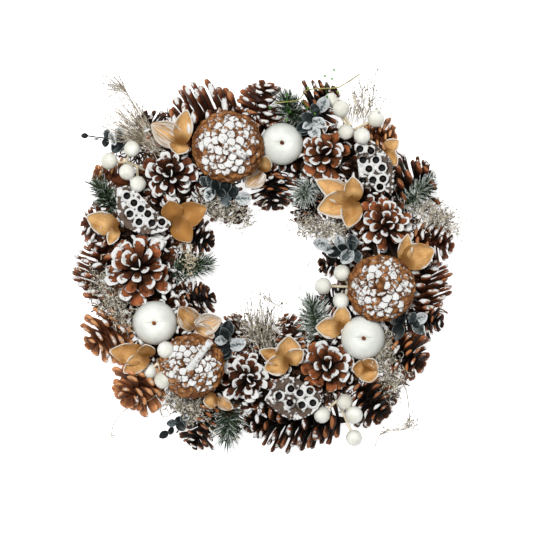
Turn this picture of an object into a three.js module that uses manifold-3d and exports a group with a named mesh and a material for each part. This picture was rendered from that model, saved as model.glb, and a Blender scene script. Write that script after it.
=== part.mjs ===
// A frosted pinecone wreath lying on its back: pinecones, closed cones, foam apples, lotus pods, wood-petal
// flowers, berry picks, pine sprigs and eucalyptus, glued round a wound vine ring.
// Millimetres. +Z points out of the wreath's front, +Y is the top of the wreath as it hangs.
import * as THREE from "three";
import { mergeVertices } from "three/addons/utils/BufferGeometryUtils.js";
import Module from "manifold-3d";

const wasm = await Module();
wasm.setup();

// Driving dimensions.
const mmPerPixel = 0.95; // size of one photograph pixel at the table
const cameraHeight = 2000; // distance from which the photograph looks down
const ringPixel = [265, 263]; // centre of the wreath in the photograph
const ringRadius = 112; // middle of the vine ring
const ringHalfWidth = 25;
const ringHeight = 34;
const ringTwist = 9; // ridges that the winding makes round the ring
const seatGap = 0.32; // clearance between a piece and what carries it
const groundGap = 0.6; // lowest point of the trimmings above the table
const goldenAngle = Math.PI * (3 - Math.sqrt(5));

const colours = {
  vine: 0x6b4a30,
  cone: 0x7a3f1f,
  closedCone: 0xa8683a,
  apple: 0xf3f2ec,
  pod: 0xd9d6cf,
  petal: 0xd7a05c,
  berry: 0xf2f1e4,
  pine: 0x4f6b4c,
  eucalyptus: 0x5b666a,
};

// A point of the photograph at a given height above the table.
function at([px, py], z) {
  const k = mmPerPixel * (1 - z / cameraHeight);
  return new THREE.Vector3((px - ringPixel[0]) * k, (ringPixel[1] - py) * k, z);
}

// A direction that leans away from straight up, towards a bearing in the photograph (0 is right, 90 is up).
function leaning(leanDegrees, bearingDegrees) {
  const lean = THREE.MathUtils.degToRad(leanDegrees);
  const bearing = THREE.MathUtils.degToRad(bearingDegrees);
  const flat = Math.sin(lean);
  return new THREE.Vector3(flat * Math.cos(bearing), flat * Math.sin(bearing), Math.cos(lean));
}

// Layout, read from the photograph.

// Open cones that face the viewer: butt on the ring, tip up. radius and height in mm.
const frontCones = [
  {
    name: "open_cone_1", pixel: [170, 177], radius: 25, height: 43,
    lean: 4, bearing: 60, spin: 0.4,
  },
  {
    name: "open_cone_2", pixel: [141, 272], radius: 34, height: 50,
    lean: 9, bearing: 95, spin: 1.3,
  },
  {
    name: "open_cone_3", pixel: [325, 159], radius: 24, height: 42,
    lean: 10, bearing: 95, spin: 2.2,
  },
  {
    name: "open_cone_4", pixel: [383, 226], radius: 27, height: 45,
    lean: 5, bearing: 20, spin: 0.0,
  },
  {
    name: "open_cone_5", pixel: [327, 366], radius: 24.5, height: 42,
    lean: 4, bearing: 80, spin: 2.9,
  },
  {
    name: "open_cone_6", pixel: [247, 378], radius: 25, height: 43,
    lean: 4, bearing: 10, spin: 1.8,
  },
];

// Closed cones glued on their tips, so that the rounded butt and its stalk face the viewer.
const closedCones = [
  {
    name: "closed_cone_1", pixel: [228, 147], radius: 30, height: 56, z: 33,
    stalk: { bearing: -30, length: 21 },
  },
  {
    name: "closed_cone_2", pixel: [381, 288], radius: 28.5, height: 53, z: 33,
    stalk: { bearing: 85, length: 11 },
  },
  {
    name: "closed_cone_3", pixel: [192, 366], radius: 27.5, height: 52, z: 32,
    stalk: { bearing: 53, length: 32 },
  },
];

const apples = [
  { name: "apple_1", pixel: [282, 144], radius: 18.6 },
  { name: "apple_2", pixel: [155, 323], radius: 19.4 },
  { name: "apple_3", pixel: [363, 338], radius: 19.4 },
];
const appleHeight = 35;

// Lotus pods: outline of the face and the seed holes, clockwise in the photograph.
const lotusPods = [
  {
    name: "lotus_pod_1",
    face: [
      [117, 188], [129, 186], [142, 197], [152, 208], [161, 216], [171, 223], [165, 231],
      [148, 234], [130, 230], [119, 219], [116, 203],
    ],
    holes: [[127, 196], [134, 203], [141, 209], [130, 214], [148, 214], [139, 222], [152, 223], [162, 222]],
    foot: [142, 222],
    z: 62,
  },
  {
    name: "lotus_pod_2",
    face: [
      [354, 145], [363, 140], [373, 141], [381, 149], [391, 160], [394, 176], [392, 195],
      [384, 190], [362, 184], [358, 166],
    ],
    holes: [
      [360, 149], [371, 151], [363, 160], [376, 160], [369, 169], [382, 168], [373, 180],
      [383, 179], [363, 181], [380, 187],
    ],
    foot: [366, 168],
    z: 60,
  },
  {
    name: "lotus_pod_3",
    face: [
      [264, 400], [272, 388], [283, 377], [298, 379], [309, 388], [321, 395], [320, 406],
      [309, 416], [294, 420], [279, 414],
    ],
    holes: [[279, 396], [291, 389], [300, 393], [310, 391], [290, 403], [302, 405], [313, 403]],
    foot: [291, 395],
    z: 58,
  },
];
const podDepth = 24;
const podFootShare = 0.36; // the foot's outline against the face's
const seedHoleRadius = 3.3;
const seedHoleDepth = 5;

// Wood-petal flowers: petals are [bearing, length in pixels, width in mm, rise in mm].
const flowers = [
  {
    name: "wood_flower_1", pixel: [181, 143], root: [187, 152], z: 52,
    petals: [[148, 33, 21, 12], [79, 32, 16, 13], [255, 12, 17, 9]],
  },
  {
    name: "wood_flower_2", pixel: [175, 221], root: [178, 223], z: 50,
    petals: [[104, 20, 18, 13], [22, 34, 21, 12], [308, 26, 18, 9]],
  },
  {
    name: "wood_flower_3", pixel: [117, 229], root: [127, 231], z: 48,
    petals: [[157, 31, 19, 11], [245, 17, 10, 8]],
  },
  {
    name: "wood_flower_4", pixel: [354, 201], root: [352, 206], z: 52,
    petals: [[152, 42, 18, 11], [95, 23, 16, 14], [194, 37, 22, 12], [256, 27, 18, 10]],
  },
  {
    name: "wood_flower_5", pixel: [403, 262], root: [403, 258], z: 56,
    petals: [[82, 27, 12, 13], [22, 32, 22, 11]],
  },
  {
    name: "wood_flower_6", pixel: [341, 328], root: [339, 331], z: 46,
    petals: [[88, 23, 15, 14], [178, 25, 18, 12]],
  },
  {
    name: "wood_flower_7", pixel: [148, 356], root: [154, 349], z: 48,
    petals: [[172, 37, 18, 11], [214, 28, 15, 9], [95, 12, 15, 17]],
  },
  {
    name: "wood_flower_8", pixel: [196, 328], root: [194, 330], z: 50,
    petals: [[127, 26, 19, 13], [20, 27, 18, 13], [335, 20, 14, 9]],
  },
  {
    name: "wood_flower_9", pixel: [288, 362], root: [287, 360], z: 50,
    petals: [[157, 30, 14, 12], [88, 26, 21, 15], [196, 24, 17, 9], [40, 19, 14, 14]],
  },
  {
    name: "wood_flower_10", pixel: [262, 171], root: [261, 169], z: 42,
    petals: [[226, 23, 18, 13], [72, 14, 14, 19]],
  },
  {
    name: "wood_flower_11", pixel: [367, 369], root: [360, 366], z: 42,
    petals: [[176, 15, 15, 12], [285, 13, 17, 9], [60, 12, 15, 15]],
  },
  {
    name: "wood_flower_12", pixel: [217, 399], root: [220, 396], z: 46,
    petals: [[330, 18, 10, 12], [190, 13, 14, 9]],
  },
  {
    name: "wood_flower_13", pixel: [384, 151], root: [352, 156], z: 36,
    petals: [[35, 17, 12, 9], [310, 19, 13, 7]],
  },
];
const petalThickness = 1.5;
const petalCup = 0.45; // rise of a petal's edges against its half width
const shortPetal = 20; // pixels, below which a petal has fewer rows
const stalkRadius = 1.6;

// Berry picks: berries are [pixel x, pixel y, height of the centre, radius in mm].
const berryPicks = [
  {
    name: "berry_pick_1", hub: [124, 161], hubZ: 52, root: [160, 176], rootZ: 10,
    berries: [[132, 149, 62, 7.4], [109, 161, 58, 7.8], [127, 172, 66, 7.4], [138, 184, 60, 7.4]],
  },
  {
    name: "berry_pick_2", hub: [350, 124], hubZ: 50, root: [340, 146], rootZ: 10,
    berries: [
      [341, 109, 58, 7.8], [331, 100, 46, 6.6], [346, 132, 60, 7.2], [362, 136, 66, 7.6],
      [376, 119, 60, 7.8],
    ],
  },
  {
    name: "berry_pick_3", hub: [349, 287], hubZ: 44, root: [358, 286], rootZ: 10,
    berries: [[342, 273, 58, 7.6], [323, 286, 50, 7.8], [341, 301, 54, 7.6]],
  },
  {
    name: "berry_pick_4", hub: [339, 406], hubZ: 40, root: [332, 384], rootZ: 8,
    berries: [[345, 402, 52, 7.4], [354, 415, 58, 8.2], [322, 415, 46, 7.8], [354, 438, 44, 7.6]],
  },
  {
    name: "berry_pick_5", hub: [158, 364], hubZ: 50, root: [158, 356], rootZ: 8,
    berries: [[166, 350, 74, 7.9], [149, 372, 40, 7.6], [163, 380, 68, 8]],
  },
];

// Pine sprigs: from root to tip, needles in mm.
const pineSprigs = [
  { name: "pine_sprig_1", root: [128, 226], rootZ: 14, tip: [99, 186], tipZ: 46, needle: 17 },
  { name: "pine_sprig_2", root: [166, 272], rootZ: 22, tip: [206, 264], tipZ: 46, needle: 16 },
  { name: "pine_sprig_3", root: [300, 128], rootZ: 14, tip: [287, 101], tipZ: 50, needle: 17 },
  { name: "pine_sprig_4", root: [316, 181], rootZ: 18, tip: [304, 195], tipZ: 54, needle: 15 },
  { name: "pine_sprig_5", root: [396, 214], rootZ: 12, tip: [427, 186], tipZ: 46, needle: 17 },
  { name: "pine_sprig_6", root: [318, 345], rootZ: 18, tip: [312, 306], tipZ: 46, needle: 16 },
  { name: "pine_sprig_7", root: [230, 396], rootZ: 12, tip: [228, 434], tipZ: 44, needle: 17 },
];
const needlesPerSprig = 14;
const needleRadius = 0.7;

// Eucalyptus: stem through points [pixel x, pixel y, z], leaves [along 0..1, bearing, length mm, rise mm].
const eucalyptus = [
  {
    name: "eucalyptus_1",
    stem: [[205, 184, 20], [212, 188, 44], [236, 199, 50]],
    leaves: [[0.5, 100, 14, 8], [0.5, 250, 13, 6], [0.75, 75, 13, 8], [0.75, 290, 13, 4], [0.98, 10, 14, 4]],
  },
  {
    name: "eucalyptus_2",
    stem: [[304, 131, 14], [309, 126, 48], [320, 112, 56]],
    leaves: [[0.5, 200, 12, 8], [0.5, 320, 14, 4], [0.75, 180, 12, 6], [0.75, 340, 12, 5], [0.98, 70, 14, 6]],
  },
  {
    name: "eucalyptus_3",
    stem: [[164, 170, 14], [137, 146, 24], [116, 140, 40], [88, 136, 44]],
    leaves: [[0.6, 250, 13, 5], [0.6, 110, 12, 7], [0.8, 80, 10, 4], [0.8, 265, 10, 3], [0.98, 185, 9, 3]],
  },
  {
    name: "eucalyptus_4",
    stem: [[362, 250, 20], [352, 250, 42], [328, 246, 48]],
    leaves: [[0.5, 245, 15, 7], [0.5, 95, 14, 8], [0.75, 220, 13, 4], [0.75, 120, 12, 6], [0.98, 170, 14, 4]],
  },
  {
    name: "eucalyptus_5",
    stem: [[388, 322, 14], [400, 324, 38], [414, 322, 46]],
    leaves: [[0.5, 100, 13, 8], [0.5, 260, 14, 6], [0.98, 40, 13, 6], [0.98, 310, 13, 3]],
  },
  {
    name: "eucalyptus_6",
    stem: [[228, 356, 20], [230, 347, 46], [226, 337, 52]],
    leaves: [[0.5, 20, 15, 5], [0.5, 200, 14, 5], [0.98, 80, 15, 8], [0.98, 150, 14, 6]],
  },
  {
    name: "eucalyptus_7",
    stem: [[208, 388, 12], [186, 412, 30], [168, 432, 38]],
    leaves: [
      [0.5, 130, 11, 5], [0.5, 280, 12, 5], [0.75, 190, 12, 4], [0.75, 330, 11, 4],
      [0.98, 215, 12, 3],
    ],
  },
];
const leafThickness = 1;
const leafWidthShare = 0.78; // a leaf's width against its length
const stemRadius = 1.1;

// Lower cones, lying round the outside and the inside of the ring: butt and tip in the photograph.
// Neighbours that share a node are the ones whose scales lock together.
const lowerCones = {
  outer_cones_top: [
    { butt: [242, 114], tip: [170, 124], z: 28, tipZ: 28, radius: 35, spin: 0.2 },
    { butt: [260, 128], tip: [267, 84], z: 26, tipZ: 42, radius: 29, spin: 1.2 },
    { butt: [306, 118], tip: [334, 90], z: 26, tipZ: 34, radius: 27, spin: 0.7 },
  ],
  outer_cones_upper_right: [
    { butt: [362, 136], tip: [394, 136], z: 22, tipZ: 32, radius: 24, spin: 0.5 },
    { butt: [396, 196], tip: [432, 172], z: 28, tipZ: 26, radius: 33, spin: 2.5 },
  ],
  outer_cones_right: [
    { butt: [412, 238], tip: [452, 246], z: 24, tipZ: 36, radius: 24, spin: 1.0 },
    { butt: [424, 314], tip: [424, 254], z: 26, tipZ: 26, radius: 30, spin: 2.0 },
  ],
  outer_cones_lower_right: [
    { butt: [402, 316], tip: [442, 322], z: 20, tipZ: 34, radius: 22, spin: 0.1 },
    { butt: [390, 346], tip: [420, 364], z: 24, tipZ: 44, radius: 29, spin: 0.9 },
  ],
  outer_cones_bottom: [
    { butt: [358, 388], tip: [384, 414], z: 24, tipZ: 44, radius: 29, spin: 1.7 },
    { butt: [344, 420], tip: [244, 422], z: 26, tipZ: 26, radius: 33, spin: 0.6 },
    { butt: [214, 404], tip: [192, 446], z: 22, tipZ: 36, radius: 27, spin: 2.6 },
  ],
  outer_cones_lower_left: [
    { butt: [152, 372], tip: [128, 400], z: 24, tipZ: 50, radius: 32, spin: 1.4 },
    { butt: [124, 320], tip: [92, 346], z: 24, tipZ: 42, radius: 32, spin: 0.3 },
  ],
  outer_cones_left: [
    { butt: [104, 304], tip: [102, 238], z: 26, tipZ: 26, radius: 32, spin: 1.9 },
    { butt: [122, 230], tip: [84, 222], z: 24, tipZ: 34, radius: 27, spin: 1.1 },
  ],
  outer_cones_upper_left: [
    { butt: [130, 184], tip: [96, 172], z: 22, tipZ: 34, radius: 24, spin: 0.8 },
    { butt: [162, 148], tip: [142, 116], z: 22, tipZ: 34, radius: 24, spin: 2.1 },
  ],
  inner_cones_top: [
    { butt: [214, 188], tip: [240, 220], z: 20, tipZ: 32, radius: 22, spin: 0.4 },
    { butt: [272, 174], tip: [274, 208], z: 22, tipZ: 32, radius: 25, spin: 1.5 },
    { butt: [322, 192], tip: [299, 222], z: 20, tipZ: 30, radius: 20, spin: 2.3 },
  ],
  inner_cones_right: [
    { butt: [362, 258], tip: [318, 266], z: 20, tipZ: 30, radius: 20, spin: 1.9 },
    { butt: [357, 306], tip: [318, 297], z: 20, tipZ: 28, radius: 20, spin: 0.9 },
  ],
  inner_cones_bottom: [
    { butt: [301, 355], tip: [285, 316], z: 20, tipZ: 30, radius: 21, spin: 0.2 },
    { butt: [264, 361], tip: [261, 324], z: 18, tipZ: 24, radius: 19, spin: 1.3 },
    { butt: [225, 355], tip: [238, 316], z: 20, tipZ: 32, radius: 21, spin: 2.4 },
  ],
  inner_cones_left: [
    { butt: [178, 310], tip: [212, 295], z: 20, tipZ: 32, radius: 23, spin: 0.6 },
    { butt: [174, 262], tip: [203, 268], z: 14, tipZ: 18, radius: 15, spin: 1.6 },
    { butt: [178, 232], tip: [212, 243], z: 20, tipZ: 32, radius: 21, spin: 2.7 },
  ],
};

const frontScales = 20;
const lowerColumns = 10; // scale tips and the clefts between them, round a lower cone
const cleftShare = 0.56; // reach of a cleft against that of a tip
const tipForward = 0.2; // how far a tip leans towards the cone's end, against its reach

// Solids.

// A closed geometry as a solid, for the joins and cuts.
function solid(geometry, matrix) {
  const g = geometry.index ? geometry.toNonIndexed() : geometry.clone();
  const bare = new THREE.BufferGeometry().setAttribute("position", g.getAttribute("position"));
  if (matrix) bare.applyMatrix4(matrix);
  const merged = mergeVertices(bare, 1e-4);
  return new wasm.Manifold(
    new wasm.Mesh({
      numProp: 3,
      vertProperties: merged.attributes.position.array,
      triVerts: new Uint32Array(merged.index.array),
    }),
  );
}

function geometryOf(made) {
  const m = made.getMesh();
  const positions = new Float32Array(m.numVert * 3);
  for (let i = 0; i < m.numVert; i++) {
    positions.set(m.vertProperties.subarray(i * m.numProp, i * m.numProp + 3), i * 3);
  }
  const geometry = new THREE.BufferGeometry()
    .setAttribute("position", new THREE.BufferAttribute(positions, 3))
    .setIndex(new THREE.BufferAttribute(m.triVerts, 1));
  const faceted = geometry.toNonIndexed();
  faceted.computeVertexNormals();
  return faceted;
}

// The frame whose X runs along one direction and whose Z leans as far as it can towards another.
function frameAlong(origin, along, up) {
  const x = along.clone().normalize();
  const y = new THREE.Vector3().crossVectors(up, x);
  if (y.lengthSq() < 1e-6) y.crossVectors(new THREE.Vector3(0, 1, 0.01), x);
  y.normalize();
  const z = new THREE.Vector3().crossVectors(x, y);
  return new THREE.Matrix4().makeBasis(x, y, z).setPosition(origin);
}

// A round bar between two points.
function bar(from, to, radiusFrom, radiusTo, sides = 5) {
  const length = from.distanceTo(to);
  const geometry = new THREE.CylinderGeometry(radiusTo, radiusFrom, length, sides);
  geometry.translate(0, length / 2, 0);
  const turn = new THREE.Quaternion().setFromUnitVectors(
    new THREE.Vector3(0, 1, 0),
    to.clone().sub(from).normalize(),
  );
  return solid(geometry, new THREE.Matrix4().compose(from, turn, new THREE.Vector3(1, 1, 1)));
}

// A thin closed sheet from rows of points across it; a row of one point closes it to a tip.
function sheet(rows, thickness) {
  const positions = [];
  const lowered = rows.map((row) => row.map((p) => p.clone().setZ(p.z - thickness)));
  const face = (a, b, c) => positions.push(...a.toArray(), ...b.toArray(), ...c.toArray());
  const strip = (near, far, up) => {
    const put = up ? face : (a, b, c) => face(a, c, b);
    if (near.length === 1) {
      for (let i = 0; i + 1 < far.length; i++) put(near[0], far[i + 1], far[i]);
    } else if (far.length === 1) {
      for (let i = 0; i + 1 < near.length; i++) put(far[0], near[i], near[i + 1]);
    } else {
      for (let i = 0; i + 1 < near.length; i++) {
        put(near[i], near[i + 1], far[i]);
        put(near[i + 1], far[i + 1], far[i]);
      }
    }
  };
  const wall = (a, b, aLow, bLow) => {
    face(a, aLow, b);
    face(b, aLow, bLow);
  };
  for (let r = 0; r + 1 < rows.length; r++) {
    strip(rows[r], rows[r + 1], true);
    strip(lowered[r], lowered[r + 1], false);
    const last = rows[r].length - 1;
    const lastFar = rows[r + 1].length - 1;
    wall(rows[r + 1][0], rows[r][0], lowered[r + 1][0], lowered[r][0]);
    wall(rows[r][last], rows[r + 1][lastFar], lowered[r][last], lowered[r + 1][lastFar]);
  }
  for (const [row, low, turned] of [
    [rows[0], lowered[0], false],
    [rows.at(-1), lowered.at(-1), true],
  ]) {
    for (let i = 0; i + 1 < row.length; i++) {
      if (turned) wall(row[i + 1], row[i], low[i + 1], low[i]);
      else wall(row[i], row[i + 1], low[i], low[i + 1]);
    }
  }
  return new THREE.BufferGeometry().setAttribute(
    "position",
    new THREE.BufferAttribute(new Float32Array(positions), 3),
  );
}

// The vine ring: flat back, domed front, ridged by the winding. grow makes the clearance round it.
function vineRing(grow) {
  const around = 36;
  const across = 6;
  const section = [];
  for (let j = 0; j <= across; j++) section.push(Math.PI * (1 - j / across));
  const ring = (i) => {
    const turn = (i / around) * 2 * Math.PI;
    const out = new THREE.Vector3(Math.cos(turn), Math.sin(turn), 0);
    return section.map((angle, j) => {
      const ridge = j === 0 || j === across ? 1 : 1 + 0.05 * Math.cos(ringTwist * turn + 3 * angle);
      const r = ringRadius + (ringHalfWidth + grow) * ridge * Math.cos(angle);
      const z = (ringHeight + grow) * ridge * Math.sin(angle);
      return out.clone().multiplyScalar(r).setZ(j === 0 || j === across ? -grow : z);
    });
  };
  const positions = [];
  const face = (a, b, c) => positions.push(...a.toArray(), ...b.toArray(), ...c.toArray());
  for (let i = 0; i < around; i++) {
    const here = ring(i);
    const next = ring((i + 1) % around);
    for (let j = 0; j < here.length; j++) {
      const k = (j + 1) % here.length;
      face(here[j], here[k], next[j]);
      face(here[k], next[k], next[j]);
    }
  }
  const geometry = new THREE.BufferGeometry().setAttribute(
    "position",
    new THREE.BufferAttribute(new Float32Array(positions), 3),
  );
  return solid(geometry);
}

// One scale of an open cone, lying along X: flat above, keeled below, pointed at its root, blunt at its tip.
function scaleSolid(length, width, keel, matrix) {
  const row = (x, half, depth) => [[x, half, 0], [x, -half, 0], [x, 0, -depth]];
  const rows = [row(length * 0.72, width / 2, keel), row(length, width * 0.26, keel * 0.8)];
  const positions = [];
  const face = (a, b, c) => positions.push(...a, ...b, ...c);
  const root = [0, 0, 0];
  for (let i = 0; i < 3; i++) face(root, rows[0][(i + 1) % 3], rows[0][i]);
  for (let r = 0; r + 1 < rows.length; r++) {
    for (let i = 0; i < 3; i++) {
      const j = (i + 1) % 3;
      face(rows[r][i], rows[r][j], rows[r + 1][i]);
      face(rows[r][j], rows[r + 1][j], rows[r + 1][i]);
    }
  }
  face(...rows.at(-1));
  const geometry = new THREE.BufferGeometry().setAttribute(
    "position",
    new THREE.BufferAttribute(new Float32Array(positions), 3),
  );
  return solid(geometry, matrix);
}

// The core and the scales of an open cone, on a golden-angle spiral, from its butt towards its tip.
function openCone({ butt, axis, radius, height, spin }) {
  const up = axis.clone().normalize();
  const side = new THREE.Vector3()
    .crossVectors(Math.abs(up.z) > 0.9 ? new THREE.Vector3(0, 1, 0) : new THREE.Vector3(0, 0, 1), up)
    .normalize();
  const fore = new THREE.Vector3().crossVectors(up, side);
  const coreRadius = radius * 0.24;
  const profile = [[0, -6], [coreRadius * 0.8, -6], [coreRadius, height * 0.3], [0, height * 0.97]];
  const core = (grow) => {
    const points = profile.map(([r, z]) => new THREE.Vector2(r && r + grow, z));
    const geometry = new THREE.LatheGeometry(points, 6).rotateX(Math.PI / 2);
    return solid(geometry, new THREE.Matrix4().makeBasis(side, fore, up).setPosition(butt));
  };
  const scales = [];
  for (let i = 0; i < frontScales; i++) {
    const t = (i + 0.5) / frontScales;
    const angle = i * goldenAngle + spin;
    const out = side.clone().multiplyScalar(Math.cos(angle)).addScaledVector(fore, Math.sin(angle));
    const root = butt.clone().addScaledVector(up, height * (0.03 + 0.72 * t));
    const reach = radius * (1 - 0.78 * t ** 1.35);
    const tip = butt.clone().addScaledVector(up, height * (0.12 + 0.88 * t)).addScaledVector(out, reach);
    const along = tip.clone().sub(root);
    const width = radius * (0.6 - 0.26 * t);
    scales.push((share, grow) =>
      scaleSolid(
        along.length() * share + grow,
        width + 2 * grow,
        3.2 + 2 * grow,
        frameAlong(root.clone().addScaledVector(up, grow), along, up),
      ),
    );
  }
  return { core, scales };
}

// A cone in the lower layer: staggered rows of pointed scales raised from its body. shares draws single
// points in towards the axis, and grow makes the clearance round it.
function lowerCone({ butt, tip, radius, spin }, shares, grow) {
  const length = butt.distanceTo(tip);
  const up = tip.clone().sub(butt).normalize();
  const side = new THREE.Vector3().crossVectors(new THREE.Vector3(0.1, 0, 1), up).normalize();
  const fore = new THREE.Vector3().crossVectors(up, side);
  const rows = shares.length;
  const point = (along, r, angle) =>
    butt.clone().addScaledVector(up, along)
      .addScaledVector(side, r * Math.cos(angle))
      .addScaledVector(fore, r * Math.sin(angle));
  const rings = [];
  for (let row = 1; row < rows; row++) {
    const t = row / rows;
    const outline = radius * Math.sin(Math.PI * (0.1 + 0.9 * t) ** 0.85);
    rings.push(
      shares[row].map((share, c) => {
        const raised = (row + c) % 2 === 0;
        const r = outline * (raised ? 1 : cleftShare) * share + grow;
        const forward = raised ? tipForward * outline * share : 0;
        return point(length * t + forward, r, (c / lowerColumns) * 2 * Math.PI + spin);
      }),
    );
  }
  const positions = [];
  const face = (a, b, c) => positions.push(...a.toArray(), ...b.toArray(), ...c.toArray());
  const low = point(-grow, 0, 0);
  const high = point(length + 0.1 * radius + grow, 0, 0);
  for (let c = 0; c < lowerColumns; c++) {
    const d = (c + 1) % lowerColumns;
    face(low, rings[0][d], rings[0][c]);
    face(high, rings.at(-1)[c], rings.at(-1)[d]);
    for (let i = 0; i + 1 < rings.length; i++) {
      const [near, far] = [rings[i], rings[i + 1]];
      // The crease runs from cleft to cleft, so that each tip stands alone.
      if ((i + 1 + c) % 2 === 0) {
        face(near[c], near[d], far[c]);
        face(near[d], far[d], far[c]);
      } else {
        face(near[c], near[d], far[d]);
        face(near[c], far[d], far[c]);
      }
    }
  }
  const geometry = new THREE.BufferGeometry().setAttribute(
    "position",
    new THREE.BufferAttribute(new Float32Array(positions), 3),
  );
  return solid(geometry);
}

// A closed cone: rows of diamond bumps over an egg, with its stalk on top. grow makes the clearance round it.
function closedCone({ pixel, radius, height, z, stalk }, grow) {
  const around = 18;
  const rows = 11;
  const centre = at(pixel, z + height / 2);
  const ring = (row) => {
    const angle = (Math.PI * row) / rows;
    const points = [];
    for (let c = 0; c < around; c++) {
      const raised = (row + c) % 2 === 0 ? 1 : 0.925;
      const turn = (c / around) * 2 * Math.PI;
      const r = (radius + grow) * raised * Math.sin(angle) * (1 - 0.12 * Math.cos(angle));
      const up = -Math.cos(angle) * (height / 2 + grow) * (0.93 + 0.07 * raised);
      points.push([r * Math.cos(turn), r * Math.sin(turn), up]);
    }
    return points;
  };
  const pole = (s) => [0, 0, s * (height / 2 + grow) * (s > 0 ? 0.9 : 1)];
  const positions = [];
  const face = (a, b, c) => positions.push(...a, ...b, ...c);
  for (let row = 1; row < rows - 1; row++) {
    const low = ring(row);
    const high = ring(row + 1);
    for (let c = 0; c < around; c++) {
      const d = (c + 1) % around;
      // The crease runs from valley to valley, so that each raised point stands alone.
      if ((row + c) % 2 === 0) {
        face(low[c], low[d], high[c]);
        face(low[d], high[d], high[c]);
      } else {
        face(low[c], low[d], high[d]);
        face(low[c], high[d], high[c]);
      }
    }
  }
  const bottom = ring(1);
  const top = ring(rows - 1);
  for (let c = 0; c < around; c++) {
    const d = (c + 1) % around;
    face(pole(-1), bottom[d], bottom[c]);
    face(pole(1), top[c], top[d]);
  }
  const geometry = new THREE.BufferGeometry().setAttribute(
    "position",
    new THREE.BufferAttribute(new Float32Array(positions), 3),
  );
  const body = solid(geometry, new THREE.Matrix4().setPosition(centre));
  const foot = at(pixel, z + height * 0.9);
  const lean = leaning(stalk.length > 20 ? 62 : 45, stalk.bearing);
  const end = foot.clone().addScaledVector(lean, stalk.length);
  end.z = Math.max(end.z, z + height + 1);
  return body.add(bar(foot, end, 3.2 + grow, 2.4 + grow, 5));
}

// A foam apple with a dimple and a short stem. grow makes the clearance round it.
function apple({ pixel, radius }, grow) {
  const r = radius + grow;
  const h = appleHeight / 2 + grow;
  const profile = [];
  for (const degrees of [-90, -58, -26, 4, 34, 60, 78]) {
    const a = THREE.MathUtils.degToRad(degrees);
    profile.push(new THREE.Vector2(r * Math.cos(a), h * Math.sin(a)));
  }
  profile[0].x = 0;
  const stem = 1.3 + grow;
  const dimple = h * 0.82;
  const stemEnd = dimple + 5 + grow;
  for (const [x, y] of [[stem, dimple], [stem, stemEnd], [0, stemEnd]]) profile.push(new THREE.Vector2(x, y));
  const centre = at(pixel, ringHeight + appleHeight / 2 - 2);
  const geometry = new THREE.LatheGeometry(profile, 10).rotateX(Math.PI / 2);
  return solid(geometry, new THREE.Matrix4().setPosition(centre));
}

// A lotus pod: its face's outline drawn in to a small foot, with seed holes sunk in the face.
function lotusPod({ face, holes, foot, z }, grow) {
  const footPoint = at(foot, z - podDepth);
  const low = face.map((p) => at(p, z - podDepth)).map((p) => p.lerp(footPoint, 1 - podFootShare));
  const mid = face.map((p, i) => at(p, z - 7).lerp(at(foot, z - 7), 0.1));
  const high = face.map((p) => at(p, z));
  const centre = high.reduce((sum, p) => sum.add(p), new THREE.Vector3()).divideScalar(high.length);
  const swell = (p, c) => {
    const out = p.clone().sub(c).setZ(0).normalize();
    return p.clone().addScaledVector(out, grow);
  };
  const levels = [
    low.map((p) => swell(p, footPoint).setZ(p.z - grow)),
    mid.map((p) => swell(p, centre)),
    high.map((p) => swell(p, centre).setZ(z + grow)),
  ];
  const middles = [footPoint.clone().setZ(footPoint.z - grow), null, centre.clone().setZ(z + grow)];
  const positions = [];
  const put = (a, b, c) => positions.push(...a.toArray(), ...b.toArray(), ...c.toArray());
  const n = face.length;
  for (let i = 0; i < n; i++) {
    const j = (i + 1) % n; // the outline runs clockwise, seen from the front
    put(middles[0], levels[0][i], levels[0][j]);
    put(middles[2], levels[2][j], levels[2][i]);
    for (let l = 0; l < 2; l++) {
      put(levels[l][i], levels[l + 1][i], levels[l][j]);
      put(levels[l][j], levels[l + 1][i], levels[l + 1][j]);
    }
  }
  const geometry = new THREE.BufferGeometry().setAttribute(
    "position",
    new THREE.BufferAttribute(new Float32Array(positions), 3),
  );
  let pod = solid(geometry);
  const stem = bar(at(foot, z - podDepth - 22), at(foot, z - podDepth + 2), 4 + grow, 5 + grow, 5);
  pod = pod.add(stem);
  if (grow > 0) return pod;
  for (const hole of holes) {
    const [floor, mouth] = [at(hole, z - seedHoleDepth), at(hole, z + 4)];
    pod = pod.subtract(bar(floor, mouth, seedHoleRadius * 0.8, seedHoleRadius * 1.05, 5));
  }
  return pod;
}

// A cupped petal or leaf along X: rows of left edge, rib and right edge, then the tip.
function blade(length, width, rise, cup, stations, thickness) {
  const rows = stations.map(([s, share]) => {
    const x = length * s;
    const z = rise * (1 - (1 - s) ** 2);
    const w = (width / 2) * share;
    if (share === 0) return [new THREE.Vector3(x, 0, z)];
    const edges = [new THREE.Vector3(x, w, z + cup * w), new THREE.Vector3(x, -w, z + cup * w)];
    return cup ? [edges[0], new THREE.Vector3(x, 0, z), edges[1]] : edges;
  });
  return sheet(rows, thickness);
}
const petalStations = [[0, 0], [0.42, 1], [0.78, 0.72], [1, 0]];
const shortPetalStations = [[0, 0], [0.55, 1], [1, 0]];
const leafStations = [[0, 0], [0.42, 1], [0.88, 0.62]];

function bladeAt(root, bearing, geometry) {
  const turn = new THREE.Matrix4().makeRotationZ(THREE.MathUtils.degToRad(bearing)).setPosition(root);
  return solid(geometry.translate(-0.8, 0, 0), turn); // the root point lies just behind the middle
}

// Packing: hard bodies first, then whatever can bend or be shorter.

const nodes = new Map(); // name -> { colour, hard: [solids], soft: [solids] }
const placed = []; // every solid so far, with its owner and its box

function put(owner, make, kind, made = make(0)) {
  placed.push({ owner, made, make, box: made.boundingBox() });
  nodes.get(owner)[kind].push(made);
}

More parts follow.
